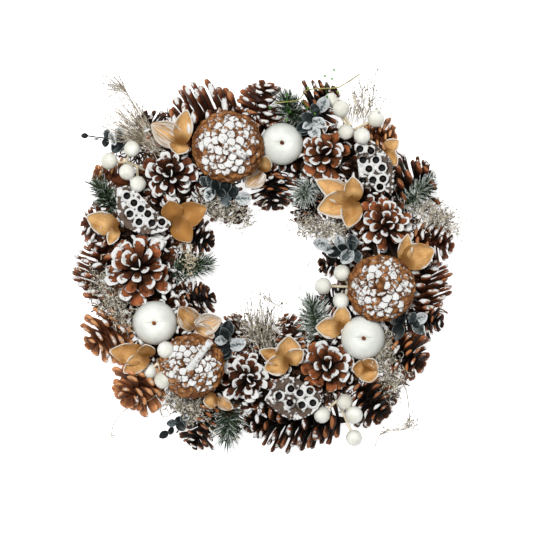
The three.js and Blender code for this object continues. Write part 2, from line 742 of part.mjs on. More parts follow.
function boxesMeet(a, b) {
  for (let k = 0; k < 3; k++) if (a.min[k] > b.max[k] || b.min[k] > a.max[k]) return false;
  return true;
}

function isClear(owner, made) {
  const box = made.boundingBox();
  if (box.min[2] < groundGap) return false;
  return placed.every(
    (other) => other.owner === owner || !boxesMeet(box, other.box) || other.made.intersect(made).isEmpty(),
  );
}

// Puts in the first of the trial shapes whose grown twin touches nothing. Each trial is (grow) => solid.
function putWhereClear(owner, trials) {
  for (const trial of trials) {
    if (isClear(owner, trial(seatGap))) {
      put(owner, trial, "soft");
      return true;
    }
  }
  return false;
}

const node = (name, colour) => {
  if (!nodes.has(name)) nodes.set(name, { colour, hard: [], soft: [] });
  return name;
};

// Bulky bodies: each is cut back from the ones before it.
const berry = ([x, y, z, radius], grow) => {
  const place = new THREE.Matrix4().setPosition(at([x, y], z));
  return solid(new THREE.OctahedronGeometry((radius + grow) * 1.04, 1), place);
};
const bulkyOf = (list, colour, make) =>
  list.map((piece) => ({ name: piece.name, colour, make: (grow) => make(piece, grow) }));
const bulky = [
  ...bulkyOf(closedCones, colours.closedCone, closedCone),
  ...bulkyOf(apples, colours.apple, apple),
  ...bulkyOf(lotusPods, colours.pod, lotusPod),
  ...berryPicks.flatMap(({ name, berries }) =>
    berries.map((place) => ({ name, colour: colours.berry, make: (grow) => berry(place, grow) })),
  ),
];
const grown = [];
for (const { name, colour, make } of bulky) {
  let made = make(0);
  for (const other of grown) if (other.name !== name) made = made.subtract(other.made);
  grown.push({ name, made: make(seatGap) });
  put(node(name, colour), make, "hard", made);
}

// Stems of the picks, flowers, sprigs and leaves.
for (const pick of berryPicks) {
  const root = at(pick.root, pick.rootZ);
  const hub = at(pick.hub, pick.hubZ);
  put(pick.name, (grow) => bar(root, hub, 1.7 + grow, 1.7 + grow, 5), "hard");
  pick.berries.forEach(([x, y, z, radius], i) => {
    const centre = at([x, y], z);
    const start = hub.clone().lerp(root, 0.06 + 0.14 * i);
    const toward = centre.clone().sub(start).normalize();
    const end = centre.addScaledVector(toward, -radius * 0.55);
    put(pick.name, (grow) => bar(start, end, 1 + grow, 1 + grow, 3), "hard");
  });
}
for (const flower of flowers) {
  put(
    node(flower.name, colours.petal),
    (grow) => bar(at(flower.root, 8), at(flower.pixel, flower.z), stalkRadius + grow, stalkRadius + grow, 4),
    "hard",
  );
}
for (const sprig of pineSprigs) {
  put(
    node(sprig.name, colours.pine),
    (grow) => bar(at(sprig.root, sprig.rootZ - 4), at(sprig.tip, sprig.tipZ), 1.9 + grow, 1.3 + grow, 5),
    "hard",
  );
}
const stemCurve = (points) =>
  new THREE.CatmullRomCurve3(points.map(([x, y, z]) => at([x, y], z)), false, "centripetal");
for (const spray of eucalyptus) {
  const stem = (grow) => {
    const r = stemRadius + grow;
    const section = new THREE.Shape().moveTo(r, 0).lineTo(0, r).lineTo(-r, 0).lineTo(0, -r);
    return solid(
      new THREE.ExtrudeGeometry(section, {
        steps: spray.stem.length + 1,
        extrudePath: stemCurve(spray.stem),
        bevelEnabled: false,
      }),
    );
  };
  put(node(spray.name, colours.eucalyptus), stem, "hard");
}

// Cores of the open cones, with their scales kept for later.
const openCones = frontCones.map((c) => {
  const name = node(c.name, colours.cone);
  const parts = openCone({ ...c, butt: at(c.pixel, ringHeight - 1), axis: leaning(c.lean, c.bearing) });
  put(name, parts.core, "hard");
  return { name, ...parts };
});

// Petals, then leaves, then scales, then needles: lifted or shortened until they clear what is there.
const trialsOf = (lifts, shares, make) =>
  lifts.flatMap((lift) => shares.map((share) => (grow) => make(lift, share, grow)));
for (const flower of flowers) {
  const root = at(flower.pixel, flower.z - 1);
  for (const [bearing, pixels, width, rise] of flower.petals) {
    const length = pixels * mmPerPixel;
    const stations = pixels < shortPetal ? shortPetalStations : petalStations;
    const petal = (lift, share, grow) => {
      const [long, wide] = [length * share + grow, (width + 2 * grow) * share];
      const geometry = blade(long, wide, rise + lift, petalCup, stations, petalThickness + 2 * grow);
      return bladeAt(root.clone().setZ(root.z + grow), bearing, geometry);
    };
    putWhereClear(flower.name, trialsOf([0, 4, 8, 12], [1, 0.85, 0.7], petal));
  }
}
for (const spray of eucalyptus) {
  const curve = stemCurve(spray.stem);
  for (const [along, bearing, length, rise] of spray.leaves) {
    const root = curve.getPointAt(along);
    root.z += leafThickness / 2;
    const leaf = (lift, share, grow) => {
      const [long, wide] = [length * share + grow, length * leafWidthShare * share + 2 * grow];
      const geometry = blade(long, wide, rise + lift, 0, leafStations, leafThickness + 2 * grow);
      return bladeAt(root.clone().setZ(root.z + grow), bearing, geometry);
    };
    putWhereClear(spray.name, trialsOf([0, 4, 8, -4], [1, 0.8, 0.6], leaf));
  }
}
for (const cone of openCones) {
  for (const make of cone.scales) {
    putWhereClear(cone.name, [1, 0.88, 0.76, 0.64, 0.52].map((share) => (grow) => make(share, grow)));
  }
}

// The lower cones give way to everything above them: where one would touch, its points there are drawn in.
const near = (made, name) => {
  const box = made.boundingBox();
  return placed.filter((other) => other.owner !== name && boxesMeet(box, other.box));
};
const laid = [];
const lowerLayout = Object.entries(lowerCones).flatMap(([name, cones]) =>
  cones.map((cone) => ({ name, ...cone })),
);
for (const { name, butt, z, tip, tipZ, radius, spin } of lowerLayout) {
  const cone = { butt: at(butt, z), tip: at(tip, tipZ), radius, spin };
  node(name, colours.cone);
  const length = cone.butt.distanceTo(cone.tip);
  const up = cone.tip.clone().sub(cone.butt).normalize();
  const side = new THREE.Vector3().crossVectors(new THREE.Vector3(0.1, 0, 1), up).normalize();
  const fore = new THREE.Vector3().crossVectors(up, side);
  const rows = THREE.MathUtils.clamp(Math.round(length / 6.5), 6, 11);
  const shares = Array.from({ length: rows }, () => new Array(lowerColumns).fill(1));
  for (let pass = 0; pass < 16; pass++) {
    const grown = lowerCone(cone, shares, seatGap);
    const touched = new Set();
    const touch = (x, y, z) => {
      const p = new THREE.Vector3(x, y, z).sub(cone.butt);
      const row = (p.dot(up) / length) * rows;
      const turns = (Math.atan2(p.dot(fore), p.dot(side)) - cone.spin) / (2 * Math.PI);
      const column = ((turns + 9) * lowerColumns) % lowerColumns;
      for (let r = 1; r < rows; r++) {
        for (let c = 0; c < lowerColumns; c++) {
          const gap = Math.abs(c - column);
          const beside = Math.min(gap, lowerColumns - gap) < 1.2;
          if (beside && Math.abs(r - row) < 1.5) touched.add(r * lowerColumns + c);
        }
      }
    };
    for (const other of near(grown, name)) {
      const common = other.made.intersect(grown);
      if (common.isEmpty()) continue;
      const m = common.getMesh();
      for (let i = 0; i < m.numVert; i++) {
        touch(...m.vertProperties.subarray(i * m.numProp, i * m.numProp + 3));
      }
    }
    // Points under the table are drawn in as well.
    if (lowerCone(cone, shares, 0).boundingBox().min[2] < groundGap) {
      for (let r = 1; r < rows; r++) {
        for (let c = 0; c < lowerColumns; c++) {
          const angle = (c / lowerColumns) * 2 * Math.PI + cone.spin;
          const outward = side.z * Math.cos(angle) + fore.z * Math.sin(angle);
          const z = cone.butt.z + (up.z * length * r) / rows + shares[r][c] * cone.radius * outward;
          if (z < groundGap) touched.add(r * lowerColumns + c);
        }
      }
    }
    if (!touched.size) break;
    for (const index of touched) {
      const ring = shares[Math.floor(index / lowerColumns)];
      const c = index % lowerColumns;
      ring[c] = Math.max(0.4, ring[c] * 0.86);
    }
  }
  // What still passes through the cone, such as a stem, gets a hole of its own.
  const make = (grow) => lowerCone(cone, shares, grow);
  const grownCone = make(seatGap);
  let made = make(0);
  for (const other of near(grownCone, name)) {
    if (!other.made.intersect(grownCone).isEmpty()) made = made.subtract(other.make(seatGap));
  }
  put(name, make, "soft", made);
  laid.push({ name, middle: cone.butt.clone().lerp(cone.tip, 0.4) });
}
// Twigs that join neighbouring cones of one node, clear of the ring.
for (let i = 1; i < laid.length; i++) {
  const [a, b] = [laid[i - 1], laid[i]];
  if (a.name !== b.name) continue;
  putWhereClear(
    a.name,
    [0, -6, 6, -12].map((drop) => (grow) => {
      const [from, to] = [a, b].map(({ middle }) => middle.clone().setZ(middle.z + drop));
      return bar(from, to, 1.6 + grow, 1.6 + grow, 4);
    }),
  );
}
for (const sprig of pineSprigs) {
  const root = at(sprig.root, sprig.rootZ);
  const tip = at(sprig.tip, sprig.tipZ);
  const up = tip.clone().sub(root).normalize();
  const side = new THREE.Vector3().crossVectors(up, new THREE.Vector3(0, 0, 1)).normalize();
  const fore = new THREE.Vector3().crossVectors(side, up);
  for (let i = 0; i < needlesPerSprig; i++) {
    const t = (i + 0.5) / needlesPerSprig;
    const angle = i * goldenAngle;
    const splay = THREE.MathUtils.degToRad(58 - 34 * t ** 2);
    const along = up.clone().multiplyScalar(Math.cos(splay))
      .addScaledVector(side, Math.sin(splay) * Math.cos(angle))
      .addScaledVector(fore, Math.sin(splay) * Math.sin(angle));
    const start = root.clone().lerp(tip, 0.2 + 0.72 * t);
    putWhereClear(
      sprig.name,
      [1, 0.8, 0.6].map((share) => (grow) => {
        const end = start.clone().addScaledVector(along, sprig.needle * share + grow);
        const length = start.distanceTo(end);
        const geometry = new THREE.ConeGeometry(needleRadius + grow, length, 3).translate(0, length / 2, 0);
        const turn = new THREE.Quaternion().setFromUnitVectors(new THREE.Vector3(0, 1, 0), along);
        return solid(geometry, new THREE.Matrix4().compose(start, turn, new THREE.Vector3(1, 1, 1)));
      }),
    );
  }
}

// The wreath.

const finish = (hex) => new THREE.MeshStandardMaterial({ color: hex, roughness: 0.8, metalness: 0 });
const wreath = new THREE.Group();
const ringClearance = vineRing(seatGap);
const meshes = [];

function addMesh(name, made, colour) {
  const mesh = new THREE.Mesh(geometryOf(made), finish(colour));
  mesh.name = name;
  meshes.push(mesh);
}

addMesh("base_ring", vineRing(0), colours.vine);
for (const [name, { colour, hard, soft }] of nodes) {
  const joined = wasm.Manifold.union([...hard, ...soft]).subtract(ringClearance);
  const bodies = joined.decompose().sort((a, b) => b.volume() - a.volume());
  addMesh(name, bodies[0].simplify(0.1), colour);
}

// The origin is the middle of the wreath's outline, on the table.
const outline = new THREE.Box3();
for (const mesh of meshes) outline.expandByObject(mesh);
const middle = outline.getCenter(new THREE.Vector3());
for (const mesh of meshes) {
  mesh.position.set(-middle.x, -middle.y, 0);
  wreath.add(mesh);
}

export default wreath;
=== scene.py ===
# Frosted pinecone wreath, lying on its back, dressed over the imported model.
# Lengths in the dictionaries are millimetres and places are pixels of the photograph, unless a note says otherwise.
import random
from math import acos, atan2, cos, exp, hypot, pi, radians, sin, sqrt

import bpy
from mathutils import Matrix, Vector
from mathutils.bvhtree import BVHTree
from mathutils.noise import noise as turbulence


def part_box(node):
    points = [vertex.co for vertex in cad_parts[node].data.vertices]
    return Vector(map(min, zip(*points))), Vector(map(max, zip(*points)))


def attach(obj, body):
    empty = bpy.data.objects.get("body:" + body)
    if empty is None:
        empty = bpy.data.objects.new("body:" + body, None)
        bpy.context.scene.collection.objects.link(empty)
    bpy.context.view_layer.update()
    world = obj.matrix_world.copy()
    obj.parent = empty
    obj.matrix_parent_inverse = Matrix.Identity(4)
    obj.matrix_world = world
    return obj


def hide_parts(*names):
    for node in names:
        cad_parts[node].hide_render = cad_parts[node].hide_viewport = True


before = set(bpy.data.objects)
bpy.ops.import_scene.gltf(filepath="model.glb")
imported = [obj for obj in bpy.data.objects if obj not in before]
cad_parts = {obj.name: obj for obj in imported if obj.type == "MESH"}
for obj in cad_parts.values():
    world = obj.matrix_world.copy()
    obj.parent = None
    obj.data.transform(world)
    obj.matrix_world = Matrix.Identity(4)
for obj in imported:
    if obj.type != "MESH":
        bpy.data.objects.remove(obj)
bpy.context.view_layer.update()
mm = 0.001
goldenAngle = pi * (3 - sqrt(5))
upward = Vector((0, 0, 1))

view = {"mmPerPixel": 0.95, "height": 2.0, "ringPixel": (265, 263), "imagePixels": 533, "sensor": 36.0}
# The ring of wound vines. Round the middle of its back the other pieces stay clear of the table.
vineRing = {"radius": 112, "halfWidth": 21.5, "top": 34, "vines": 22, "vine": 3.1, "twist": 3, "points": 96,
            "core": 13, "backBand": 16, "backClear": 6}
ringLow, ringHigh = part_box("base_ring")
ringMiddle = (ringLow + ringHigh) / 2
ringTop = vineRing["top"]


# Rows of values under one line of column names. A row may leave out its last columns.
def table(columns, rows):
    return {name: dict(zip(columns.split(), row)) for name, row in rows.items()}


# Makes all pieces of a table, each with random draws of its own.
def makeAll(stage, maker, pieces, firstSeed):
    for number, (name, values) in enumerate(pieces.items()):
        maker(name, values, random.Random(firstSeed + number))
    print(stage, "ready")


# A point of the photograph at a height above the table, in metres.
def at(px, py, z):
    scale = view["mmPerPixel"] * mm * (1 - z * mm / view["height"])
    x = ringMiddle.x + (px - view["ringPixel"][0]) * scale
    y = ringMiddle.y + (view["ringPixel"][1] - py) * scale
    return Vector((x, y, z * mm))


# A direction: its turn from +X and its lean from straight up.
def bearing(degrees, lean=90):
    turn, tilt = radians(degrees), radians(lean)
    return Vector((sin(tilt) * cos(turn), sin(tilt) * sin(turn), cos(tilt)))


def clamp(value, low=0.0, high=1.0):
    return max(low, min(high, value))


def smooth(low, high, value):
    t = clamp((value - low) / (high - low))
    return t * t * (3 - 2 * t)


def swing(draw, most):
    return draw.uniform(-most, most)


def wander(draw, spread):
    return Vector([draw.gauss(0, spread) for _ in range(3)])


# The placing whose X runs along one direction and whose Z leans as far as it can towards another.
def frameAlong(origin, along, up, size=(1, 1, 1)):
    x = along.normalized()
    y = up.cross(x)
    if y.length < 1e-5:
        y = Vector((0.1, 1, 0)).cross(x)
    y.normalize()
    z = x.cross(y)
    turned = Matrix((x * size[0], y * size[1], z * size[2])).transposed().to_4x4()
    turned.translation = origin
    return turned


# Adding, selecting and joining.
def selectOnly(piece):
    bpy.ops.object.select_all(action="DESELECT")
    piece.select_set(True)
    bpy.context.view_layer.objects.active = piece


def newest(name):
    piece = bpy.context.object
    piece.name = name
    piece.data.name = name
    return piece


def applyPlace(piece):
    selectOnly(piece)
    bpy.ops.object.transform_apply(location=True, rotation=True, scale=True)
    return piece


def added(name, primitive, **settings):
    bpy.ops.object.select_all(action="DESELECT")
    primitive(**settings)
    return applyPlace(newest(name))


def joined(parts, name):
    selectOnly(parts[0])
    for part in parts:
        part.select_set(True)
    if len(parts) > 1:
        bpy.ops.object.join()
    return newest(name)


def modified(piece, kind, **settings):
    modifier = piece.modifiers.new(kind, kind)
    for key, value in settings.items():
        setattr(modifier, key, value)
    selectOnly(piece)
    bpy.ops.object.modifier_apply(modifier=kind)
    return piece


def smoothShaded(piece, degrees=40):
    selectOnly(piece)
    bpy.ops.object.shade_smooth_by_angle(angle=radians(degrees))
    return piece


# A value at each vertex, for the materials to read: a number, or a function of the vertex's place.
def marked(piece, **layers):
    mesh = piece.data
    for name, value in layers.items():
        layer = mesh.attributes.get(name) or mesh.attributes.new(name, "FLOAT", "POINT")
        values = [value(v.co) for v in mesh.vertices] if callable(value) else [value] * len(mesh.vertices)
        layer.data.foreach_set("value", values)
    return piece


def moveVertices(piece, placeOf):
    for v in piece.data.vertices:
        v.co = placeOf(v.co.copy())
    piece.data.update()
    return piece


def copyOf(master, placing, shade):
    copy = master.copy()
    copy.data = master.data.copy()
    copy.data.transform(placing)
    bpy.context.collection.objects.link(copy)
    return marked(copy, shade=shade)


def removed(piece):
    bpy.data.objects.remove(piece, do_unlink=True)


def painted(piece, look):
    piece.data.materials.clear()
    piece.data.materials.append(materials[look])
    return piece


def lowestAt(co):
    fromMiddle = hypot(co.x - ringMiddle.x, co.y - ringMiddle.y) / mm
    return vineRing["backClear"] * mm if abs(fromMiddle - vineRing["radius"]) < vineRing["backBand"] else 0


# Joins a piece's parts and puts it in the frame. With no look, the parts keep their own.
def dressed(parts, name, look, slot, *nodes):
    piece = joined(parts, name)
    if look:
        painted(piece, look)
    applyPlace(piece)
    lowest = (lambda co: 0) if "base_ring" in nodes else lowestAt
    moveVertices(piece, lambda co: Vector((co.x, co.y, max(co.z, lowest(co)))))
    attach(piece, "root")
    if nodes:
        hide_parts(*nodes)


def editAll():
    bpy.ops.object.mode_set(mode="EDIT")
    bpy.ops.mesh.select_all(action="SELECT")


# Extrudes what is selected, stage by stage: how far, how it is resized, and about which point.
def extrude(stages):
    for move, shares, middle in stages:
        bpy.ops.mesh.extrude_region_move(TRANSFORM_OT_translate={"value": move})
        bpy.ops.transform.resize(value=shares, center_override=middle)
    bpy.ops.mesh.select_all(action="SELECT")
    bpy.ops.mesh.normals_make_consistent(inside=False)
    bpy.ops.object.mode_set(mode="OBJECT")


# A bar that is extruded along X, station by station: (x, z, half width, half thickness).
def extrudedBar(name, sides, stations):
    x, z, wide, thick = stations[0]
    bar = added(name, bpy.ops.mesh.primitive_circle_add, vertices=sides, radius=1, fill_type="NGON",
                rotation=(0, pi / 2, 0))
    editAll()
    bpy.ops.transform.resize(value=(1, wide, thick), center_override=(0, 0, 0))
    bpy.ops.transform.translate(value=(x, 0, z))
    extrude([((b[0] - a[0], 0, b[1] - a[1]), (1, b[2] / a[2], b[3] / a[3]), (b[0], 0, b[1]))
             for a, b in zip(stations, stations[1:])])
    return bar


def barAlong(name, stations, origin, along, up):
    bar = extrudedBar(name, 8, stations)
    bar.data.transform(frameAlong(origin, along, up, (mm, mm, mm)))
    return bar


# Tubes along lists of points, made into one mesh: radii in metres, one for each tube or each point.
def tubes(name, paths, radii, sides=4, cyclic=False):
    curve = bpy.data.curves.new(name, "CURVE")
    curve.dimensions = "3D"
    curve.bevel_depth = 1.0
    curve.bevel_resolution = sides // 2 - 2
    curve.use_fill_caps = True
    for path, radius in zip(paths, radii):
        spline = curve.splines.new("POLY")
        spline.points.add(len(path) - 1)
        spline.use_cyclic_u = cyclic
        for i, (point, place) in enumerate(zip(spline.points, path)):
            point.co = (*place, 1)
            point.radius = radius[i] if isinstance(radius, list) else radius
    piece = bpy.data.objects.new(name, curve)
    bpy.context.collection.objects.link(piece)
    selectOnly(piece)
    bpy.ops.object.convert(target="MESH")
    return newest(name)


# A smooth line through a few points.
def curved(points, steps=6):
    ends = [points[0] * 2 - points[1], *points, points[-1] * 2 - points[-2]]
    line = []
    for a, b, c, d in zip(ends, ends[1:], ends[2:], ends[3:]):
        for i in range(steps):
            t = i / steps
            line.append(0.5 * (2 * b + (c - a) * t + (2 * a - 5 * b + 4 * c - d) * t * t
                               + (3 * b - a - 3 * c + d) * t ** 3))
    return [*line, points[-1]]


# What already stands there: a finer piece keeps out of the nodes that aren't its own.
obstacles = []
for name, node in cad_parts.items():
    faces = [polygon.vertices[:] for polygon in node.data.polygons]
    obstacles.append((name, *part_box(name), BVHTree.FromPolygons([v.co for v in node.data.vertices], faces)))


def outsideBox(point, low, high, margin=0):
    return any(point[k] < low[k] - margin or point[k] > high[k] + margin for k in range(3))


def insideOther(point, owner, passes):
    for name, low, high, tree in obstacles:
        if name == owner or name.startswith(passes) or outsideBox(point, low, high):
            continue
        spot, normal, _, _ = tree.find_nearest(point)
        if (point - spot).dot(normal) < 0:
            return True
    return False


def blocked(start, end, shares, owner, passes):
    return any(insideOther(start.lerp(end, share), owner, passes) for share in shares)


# The lower cones' scales leave the sprays that lie on them in sight: within an edge, and down to a depth.
sprayCover = {"edge": 0.18, "depth": 22}
sprays = [(low, high) for name, low, high, _ in obstacles if name.startswith(("pine_sprig", "eucalyptus"))]


def underSpray(point, owner):
    edge = sprayCover["edge"]
    return owner.startswith(("outer", "inner")) and any(
        point.z > high.z - sprayCover["depth"] * mm
        and all(edge < (point[k] - low[k]) / (high[k] - low[k]) < 1 - edge for k in (0, 1)) for low, high in sprays)


# Materials. An input is given a number, a colour, or another node's output.
def fill(tree, node, inputs):
    for key, value in inputs.items():
        if hasattr(value, "is_output"):
            tree.links.new(value, node.inputs[key])
        else:
            node.inputs[key].default_value = (*value, 1) if isinstance(value, tuple) else value


def addNode(tree, kind, inputs={}, **settings):
    node = tree.nodes.new(kind)
    for key, value in settings.items():
        setattr(node, key, value)
    fill(tree, node, inputs)
    return node.outputs


def maths(tree, operation, *values):
    return addNode(tree, "ShaderNodeMath", dict(enumerate(values)), operation=operation)[0]


def mixed(tree, share, a, b):
    return addNode(tree, "ShaderNodeMix", {0: share, 6: a, 7: b}, data_type="RGBA")[2]


def ranged(tree, value, low, high):
    return addNode(tree, "ShaderNodeMapRange", {0: value, 1: low, 2: high}, interpolation_type="SMOOTHSTEP")[0]


def noise(tree, vector, scale, detail):
    return addNode(tree, "ShaderNodeTexNoise", {"Vector": vector, "Scale": scale, "Detail": detail})["Fac"]


def objectPlace(tree):
    return addNode(tree, "ShaderNodeTexCoord")["Object"]


def attribute(tree, name):
    return addNode(tree, "ShaderNodeAttribute", attribute_name=name)["Fac"]


def grouped(tree, group, inputs):
    return addNode(tree, "ShaderNodeGroup", inputs, node_tree=group)


def newGroup(name, inputs, outputs):
    group = bpy.data.node_groups.new(name, "ShaderNodeTree")
    for socket, value in inputs.items():
        kind = "Vector" if value is None else "Color" if isinstance(value, tuple) else "Float"
        made = group.interface.new_socket(name=socket, in_out="INPUT", socket_type="NodeSocket" + kind)
        if value is not None:
            made.default_value = value
    for socket, kind in outputs.items():
        group.interface.new_socket(name=socket, in_out="OUTPUT", socket_type="NodeSocket" + kind)
    return group, group.nodes.new("NodeGroupInput").outputs, group.nodes.new("NodeGroupOutput")


# White paint that sits on what stands out. Mask says where it may be, Shade how much of it this scale has.
frost = {"fine": 2600.0, "fineShare": 0.35, "shadeShare": 0.7, "level": (1.42, 1.62)}


def makeFrostGroup():
    group, given, out = newGroup(
        "frostPaint", {"Vector": None, "Mask": 0.5, "Shade": 0.5, "Amount": 0.5, "Fineness": 420.0, "Breakup": 1.4},
        {"Cover": "Float", "Height": "Float"})
    patch = noise(group, given["Vector"], given["Fineness"], 4.0)
    fine = noise(group, given["Vector"], frost["fine"], 2.0)
    spread = maths(group, "MULTIPLY", maths(group, "SUBTRACT", patch, 0.5), given["Breakup"])
    spread = maths(group, "MULTIPLY_ADD", fine, frost["fineShare"], spread)
    level = maths(group, "ADD", given["Mask"], spread)
    level = maths(group, "MULTIPLY_ADD", given["Shade"], frost["shadeShare"], level)
    cover = ranged(group, maths(group, "ADD", level, given["Amount"]), *frost["level"])
    fill(group, out, {"Cover": cover, "Height": maths(group, "MULTIPLY", cover, maths(group, "ADD", fine, 0.6))})
    return group


# Two tones in soft patches with a finer grain over them.
mottle = {"grainShare": 0.5, "shadeShare": 0.5, "level": (0.8, 1.26)}


def makeToneGroup():
    group, given, out = newGroup(
        "mottledTone", {"Vector": None, "Dark": (0, 0, 0, 1), "Light": (1, 1, 1, 1), "Patches": 180.0,
                        "Grain": 1500.0, "Shade": 0.5},
        {"Color": "Color", "Height": "Float"})
    patch = noise(group, given["Vector"], given["Patches"], 4.0)
    grain = noise(group, given["Vector"], given["Grain"], 3.0)
    share = maths(group, "MULTIPLY_ADD", grain, mottle["grainShare"], patch)
    share = maths(group, "MULTIPLY_ADD", given["Shade"], mottle["shadeShare"], share)
    share = ranged(group, share, *mottle["level"])
    fill(group, out, {"Color": mixed(group, share, given["Dark"], given["Light"]), "Height": grain})
    return group


frostGroup, toneGroup = makeFrostGroup(), makeToneGroup()


def newMaterial(name, roughness, specular):
    material = bpy.data.materials.new(name)
    material.use_nodes = True
    tree, shader = material.node_tree, material.node_tree.nodes["Principled BSDF"]
    fill(tree, shader, {"Roughness": roughness, "Specular IOR Level": specular})
    return material, tree, shader


def finished(tree, shader, colour, height, distance):
    bump = addNode(tree, "ShaderNodeBump", {"Height": height, "Strength": 1.0, "Distance": distance})
    fill(tree, shader, {"Base Color": colour, "Normal": bump["Normal"]})


# Bare stuff with white paint over it. The shade, mask and rim attributes come from the mesh, and so does the mark of
# painted shade.
def paintedMaterial(name, dark, light, paint, roughness=0.62, specular=0.3, patches=160.0, tone=None,
                    grainy=False, rimColour=None, deepColour=None, rimPaint=0, fineness=420.0, breakup=1.4,
                    opacity=1.0, paintColour=(0.86, 0.86, 0.84), bump=0.0004):
    material, tree, shader = newMaterial(name, roughness, specular)
    place, shade, mask = objectPlace(tree), attribute(tree, "shade"), attribute(tree, "mask")
    bare = grouped(tree, toneGroup, {"Vector": place, "Dark": dark, "Light": light, "Patches": patches,
                                     "Grain": 1400.0, "Shade": tone or shade})
    colour = bare["Color"]
    if grainy:  # fine streaks along the wood
        ways = ((attribute(tree, "along"), 2.0), (attribute(tree, "across"), 9.0), (shade, 9.0))
        place = addNode(tree, "ShaderNodeCombineXYZ",
                        {i: maths(tree, "MULTIPLY", *way) for i, way in enumerate(ways)})[0]
        share = ranged(tree, noise(tree, place, 1.6, 4.0), 0.35, 0.75)
        colour = mixed(tree, maths(tree, "MULTIPLY", share, 0.45), colour, dark)
    if rimColour:  # a paler edge
        colour = mixed(tree, ranged(tree, attribute(tree, "rim"), 0.75, 1.0), colour, rimColour)
    if deepColour:  # painted shade, darker towards the middle of the cone, the bottom of the cup, down the holes and under the scales; on the apple stem it darkens the stem's own brown
        colour = mixed(tree, attribute(tree, "deep"), colour, deepColour)
    if rimPaint:  # paint that was brushed over the edges too
        mask = maths(tree, "MULTIPLY_ADD", attribute(tree, "rim"), rimPaint, mask)
    white = grouped(tree, frostGroup, {"Vector": place, "Mask": mask, "Shade": shade, "Amount": paint,
                                       "Fineness": fineness, "Breakup": breakup})
    colour = mixed(tree, maths(tree, "MULTIPLY", white["Cover"], opacity), colour, paintColour)
    finished(tree, shader, colour, maths(tree, "MULTIPLY_ADD", white["Height"], 1.6, bare["Height"]), bump)
    return material


# White skins with a grain of their own, for the foam apples and the glittered berries.
def skinMaterial(name, dark, light, roughness, specular, grain, bump):
    material, tree, shader = newMaterial(name, roughness, specular)
    skin = grouped(tree, toneGroup, {"Vector": objectPlace(tree), "Dark": dark, "Light": light, "Patches": 70.0,
                                     "Grain": grain, "Shade": 0.6})
    # Painted shade in the apple's stem dimple, from the mark of painted shade.
    colour = mixed(tree, attribute(tree, "deep"), skin["Color"], (0.42, 0.36, 0.28))
    finished(tree, shader, colour, skin["Height"], bump)
    return material


coneWood = {"specular": 0.12, "breakup": 2.0, "fineness": 280.0, "tone": 0.6}
# In each look, the colour that the painted-shade mark mixes in is painted shade in hollows and between the scales.
looks = {
    "coneChestnut": dict(coneWood, dark=(0.06, 0.015, 0.005), light=(0.45, 0.135, 0.045), paint=0.02, rimPaint=0.2,
                         rimColour=(0.5, 0.2, 0.07), deepColour=(0.005, 0.002, 0.001)),
    "coneRimmed": dict(coneWood, dark=(0.045, 0.012, 0.004), light=(0.42, 0.128, 0.042), paint=0.0,
                       rimColour=(0.62, 0.3, 0.12), deepColour=(0.005, 0.002, 0.001)),
    "coneSnowy": dict(coneWood, dark=(0.13, 0.034, 0.012), light=(0.5, 0.16, 0.06), paint=0.14, rimPaint=0.4,
                      rimColour=(0.4, 0.18, 0.08), deepColour=(0.045, 0.012, 0.004)),
    "coneDark": dict(coneWood, dark=(0.03, 0.009, 0.004), light=(0.18, 0.05, 0.017), paint=0.04, rimPaint=0.2,
                     rimColour=(0.3, 0.115, 0.045), deepColour=(0.004, 0.002, 0.001)),
    "coneRaw": dict(coneWood, dark=(0.26, 0.07, 0.022), light=(0.92, 0.42, 0.18), paint=-0.12, rimPaint=0.2,
                    rimColour=(0.62, 0.32, 0.14), deepColour=(0.1, 0.03, 0.01)),
    "closedCone": dict(dark=(0.11, 0.036, 0.01), light=(0.58, 0.26, 0.09), paint=-0.08, specular=0.12, tone=0.4,
                       rimColour=(0.56, 0.28, 0.115), deepColour=(0.04, 0.013, 0.004), fineness=300.0, breakup=1.6),
    "podHusk": dict(dark=(0.025, 0.016, 0.011), light=(0.115, 0.076, 0.053), paint=0.08, bump=0.0005,
                    deepColour=(0.003, 0.002, 0.002), fineness=260.0, breakup=2.2),
    "petalWood": dict(dark=(0.4, 0.19, 0.052), light=(0.8, 0.51, 0.22), paint=0.12, specular=0.12, patches=90.0,
                      paintColour=(0.88, 0.83, 0.75), deepColour=(0.15, 0.062, 0.011), bump=0.00015, fineness=1.1,
                      grainy=True, opacity=0.9),
    "eucalyptusLeaf": dict(dark=(0.007, 0.01, 0.01), light=(0.085, 0.11, 0.115), paint=0.12, roughness=0.45,
                           paintColour=(0.66, 0.69, 0.69), rimColour=(0.2, 0.24, 0.24), bump=0.00012,
                           fineness=520.0, opacity=0.85, breakup=0.8),
    "pineNeedle": dict(dark=(0.012, 0.032, 0.01), light=(0.12, 0.2, 0.085), paint=0.28, bump=0.0001,
                       paintColour=(0.82, 0.86, 0.84), fineness=500.0, breakup=2.2),
    "vineBark": dict(dark=(0.008, 0.004, 0.002), light=(0.045, 0.02, 0.009), paint=-0.3, specular=0.1, bump=0.0006),
    "strawStem": dict(dark=(0.14, 0.105, 0.06), light=(0.75, 0.65, 0.5), paint=0.2, bump=0.0001),
    "greyMoss": dict(dark=(0.08, 0.06, 0.032), light=(0.96, 0.87, 0.69), paint=0.2, bump=0.0001, breakup=2.2),
    "creamStem": dict(dark=(0.55, 0.44, 0.29), light=(0.84, 0.76, 0.58), paint=0.05, bump=0.0001),
    # Dark strands that stand in for the shade between the trimmings.
    "shadeFiller": dict(dark=(0.012, 0.006, 0.004), light=(0.16, 0.075, 0.035), paint=-0.2, bump=0.0001),
    "greenTwig": dict(dark=(0.28, 0.24, 0.06), light=(0.5, 0.45, 0.14), paint=-0.4, bump=0.0001),
    "greenBud": dict(dark=(0.05, 0.17, 0.015), light=(0.16, 0.38, 0.05), paint=-0.6, bump=0.0001),
}
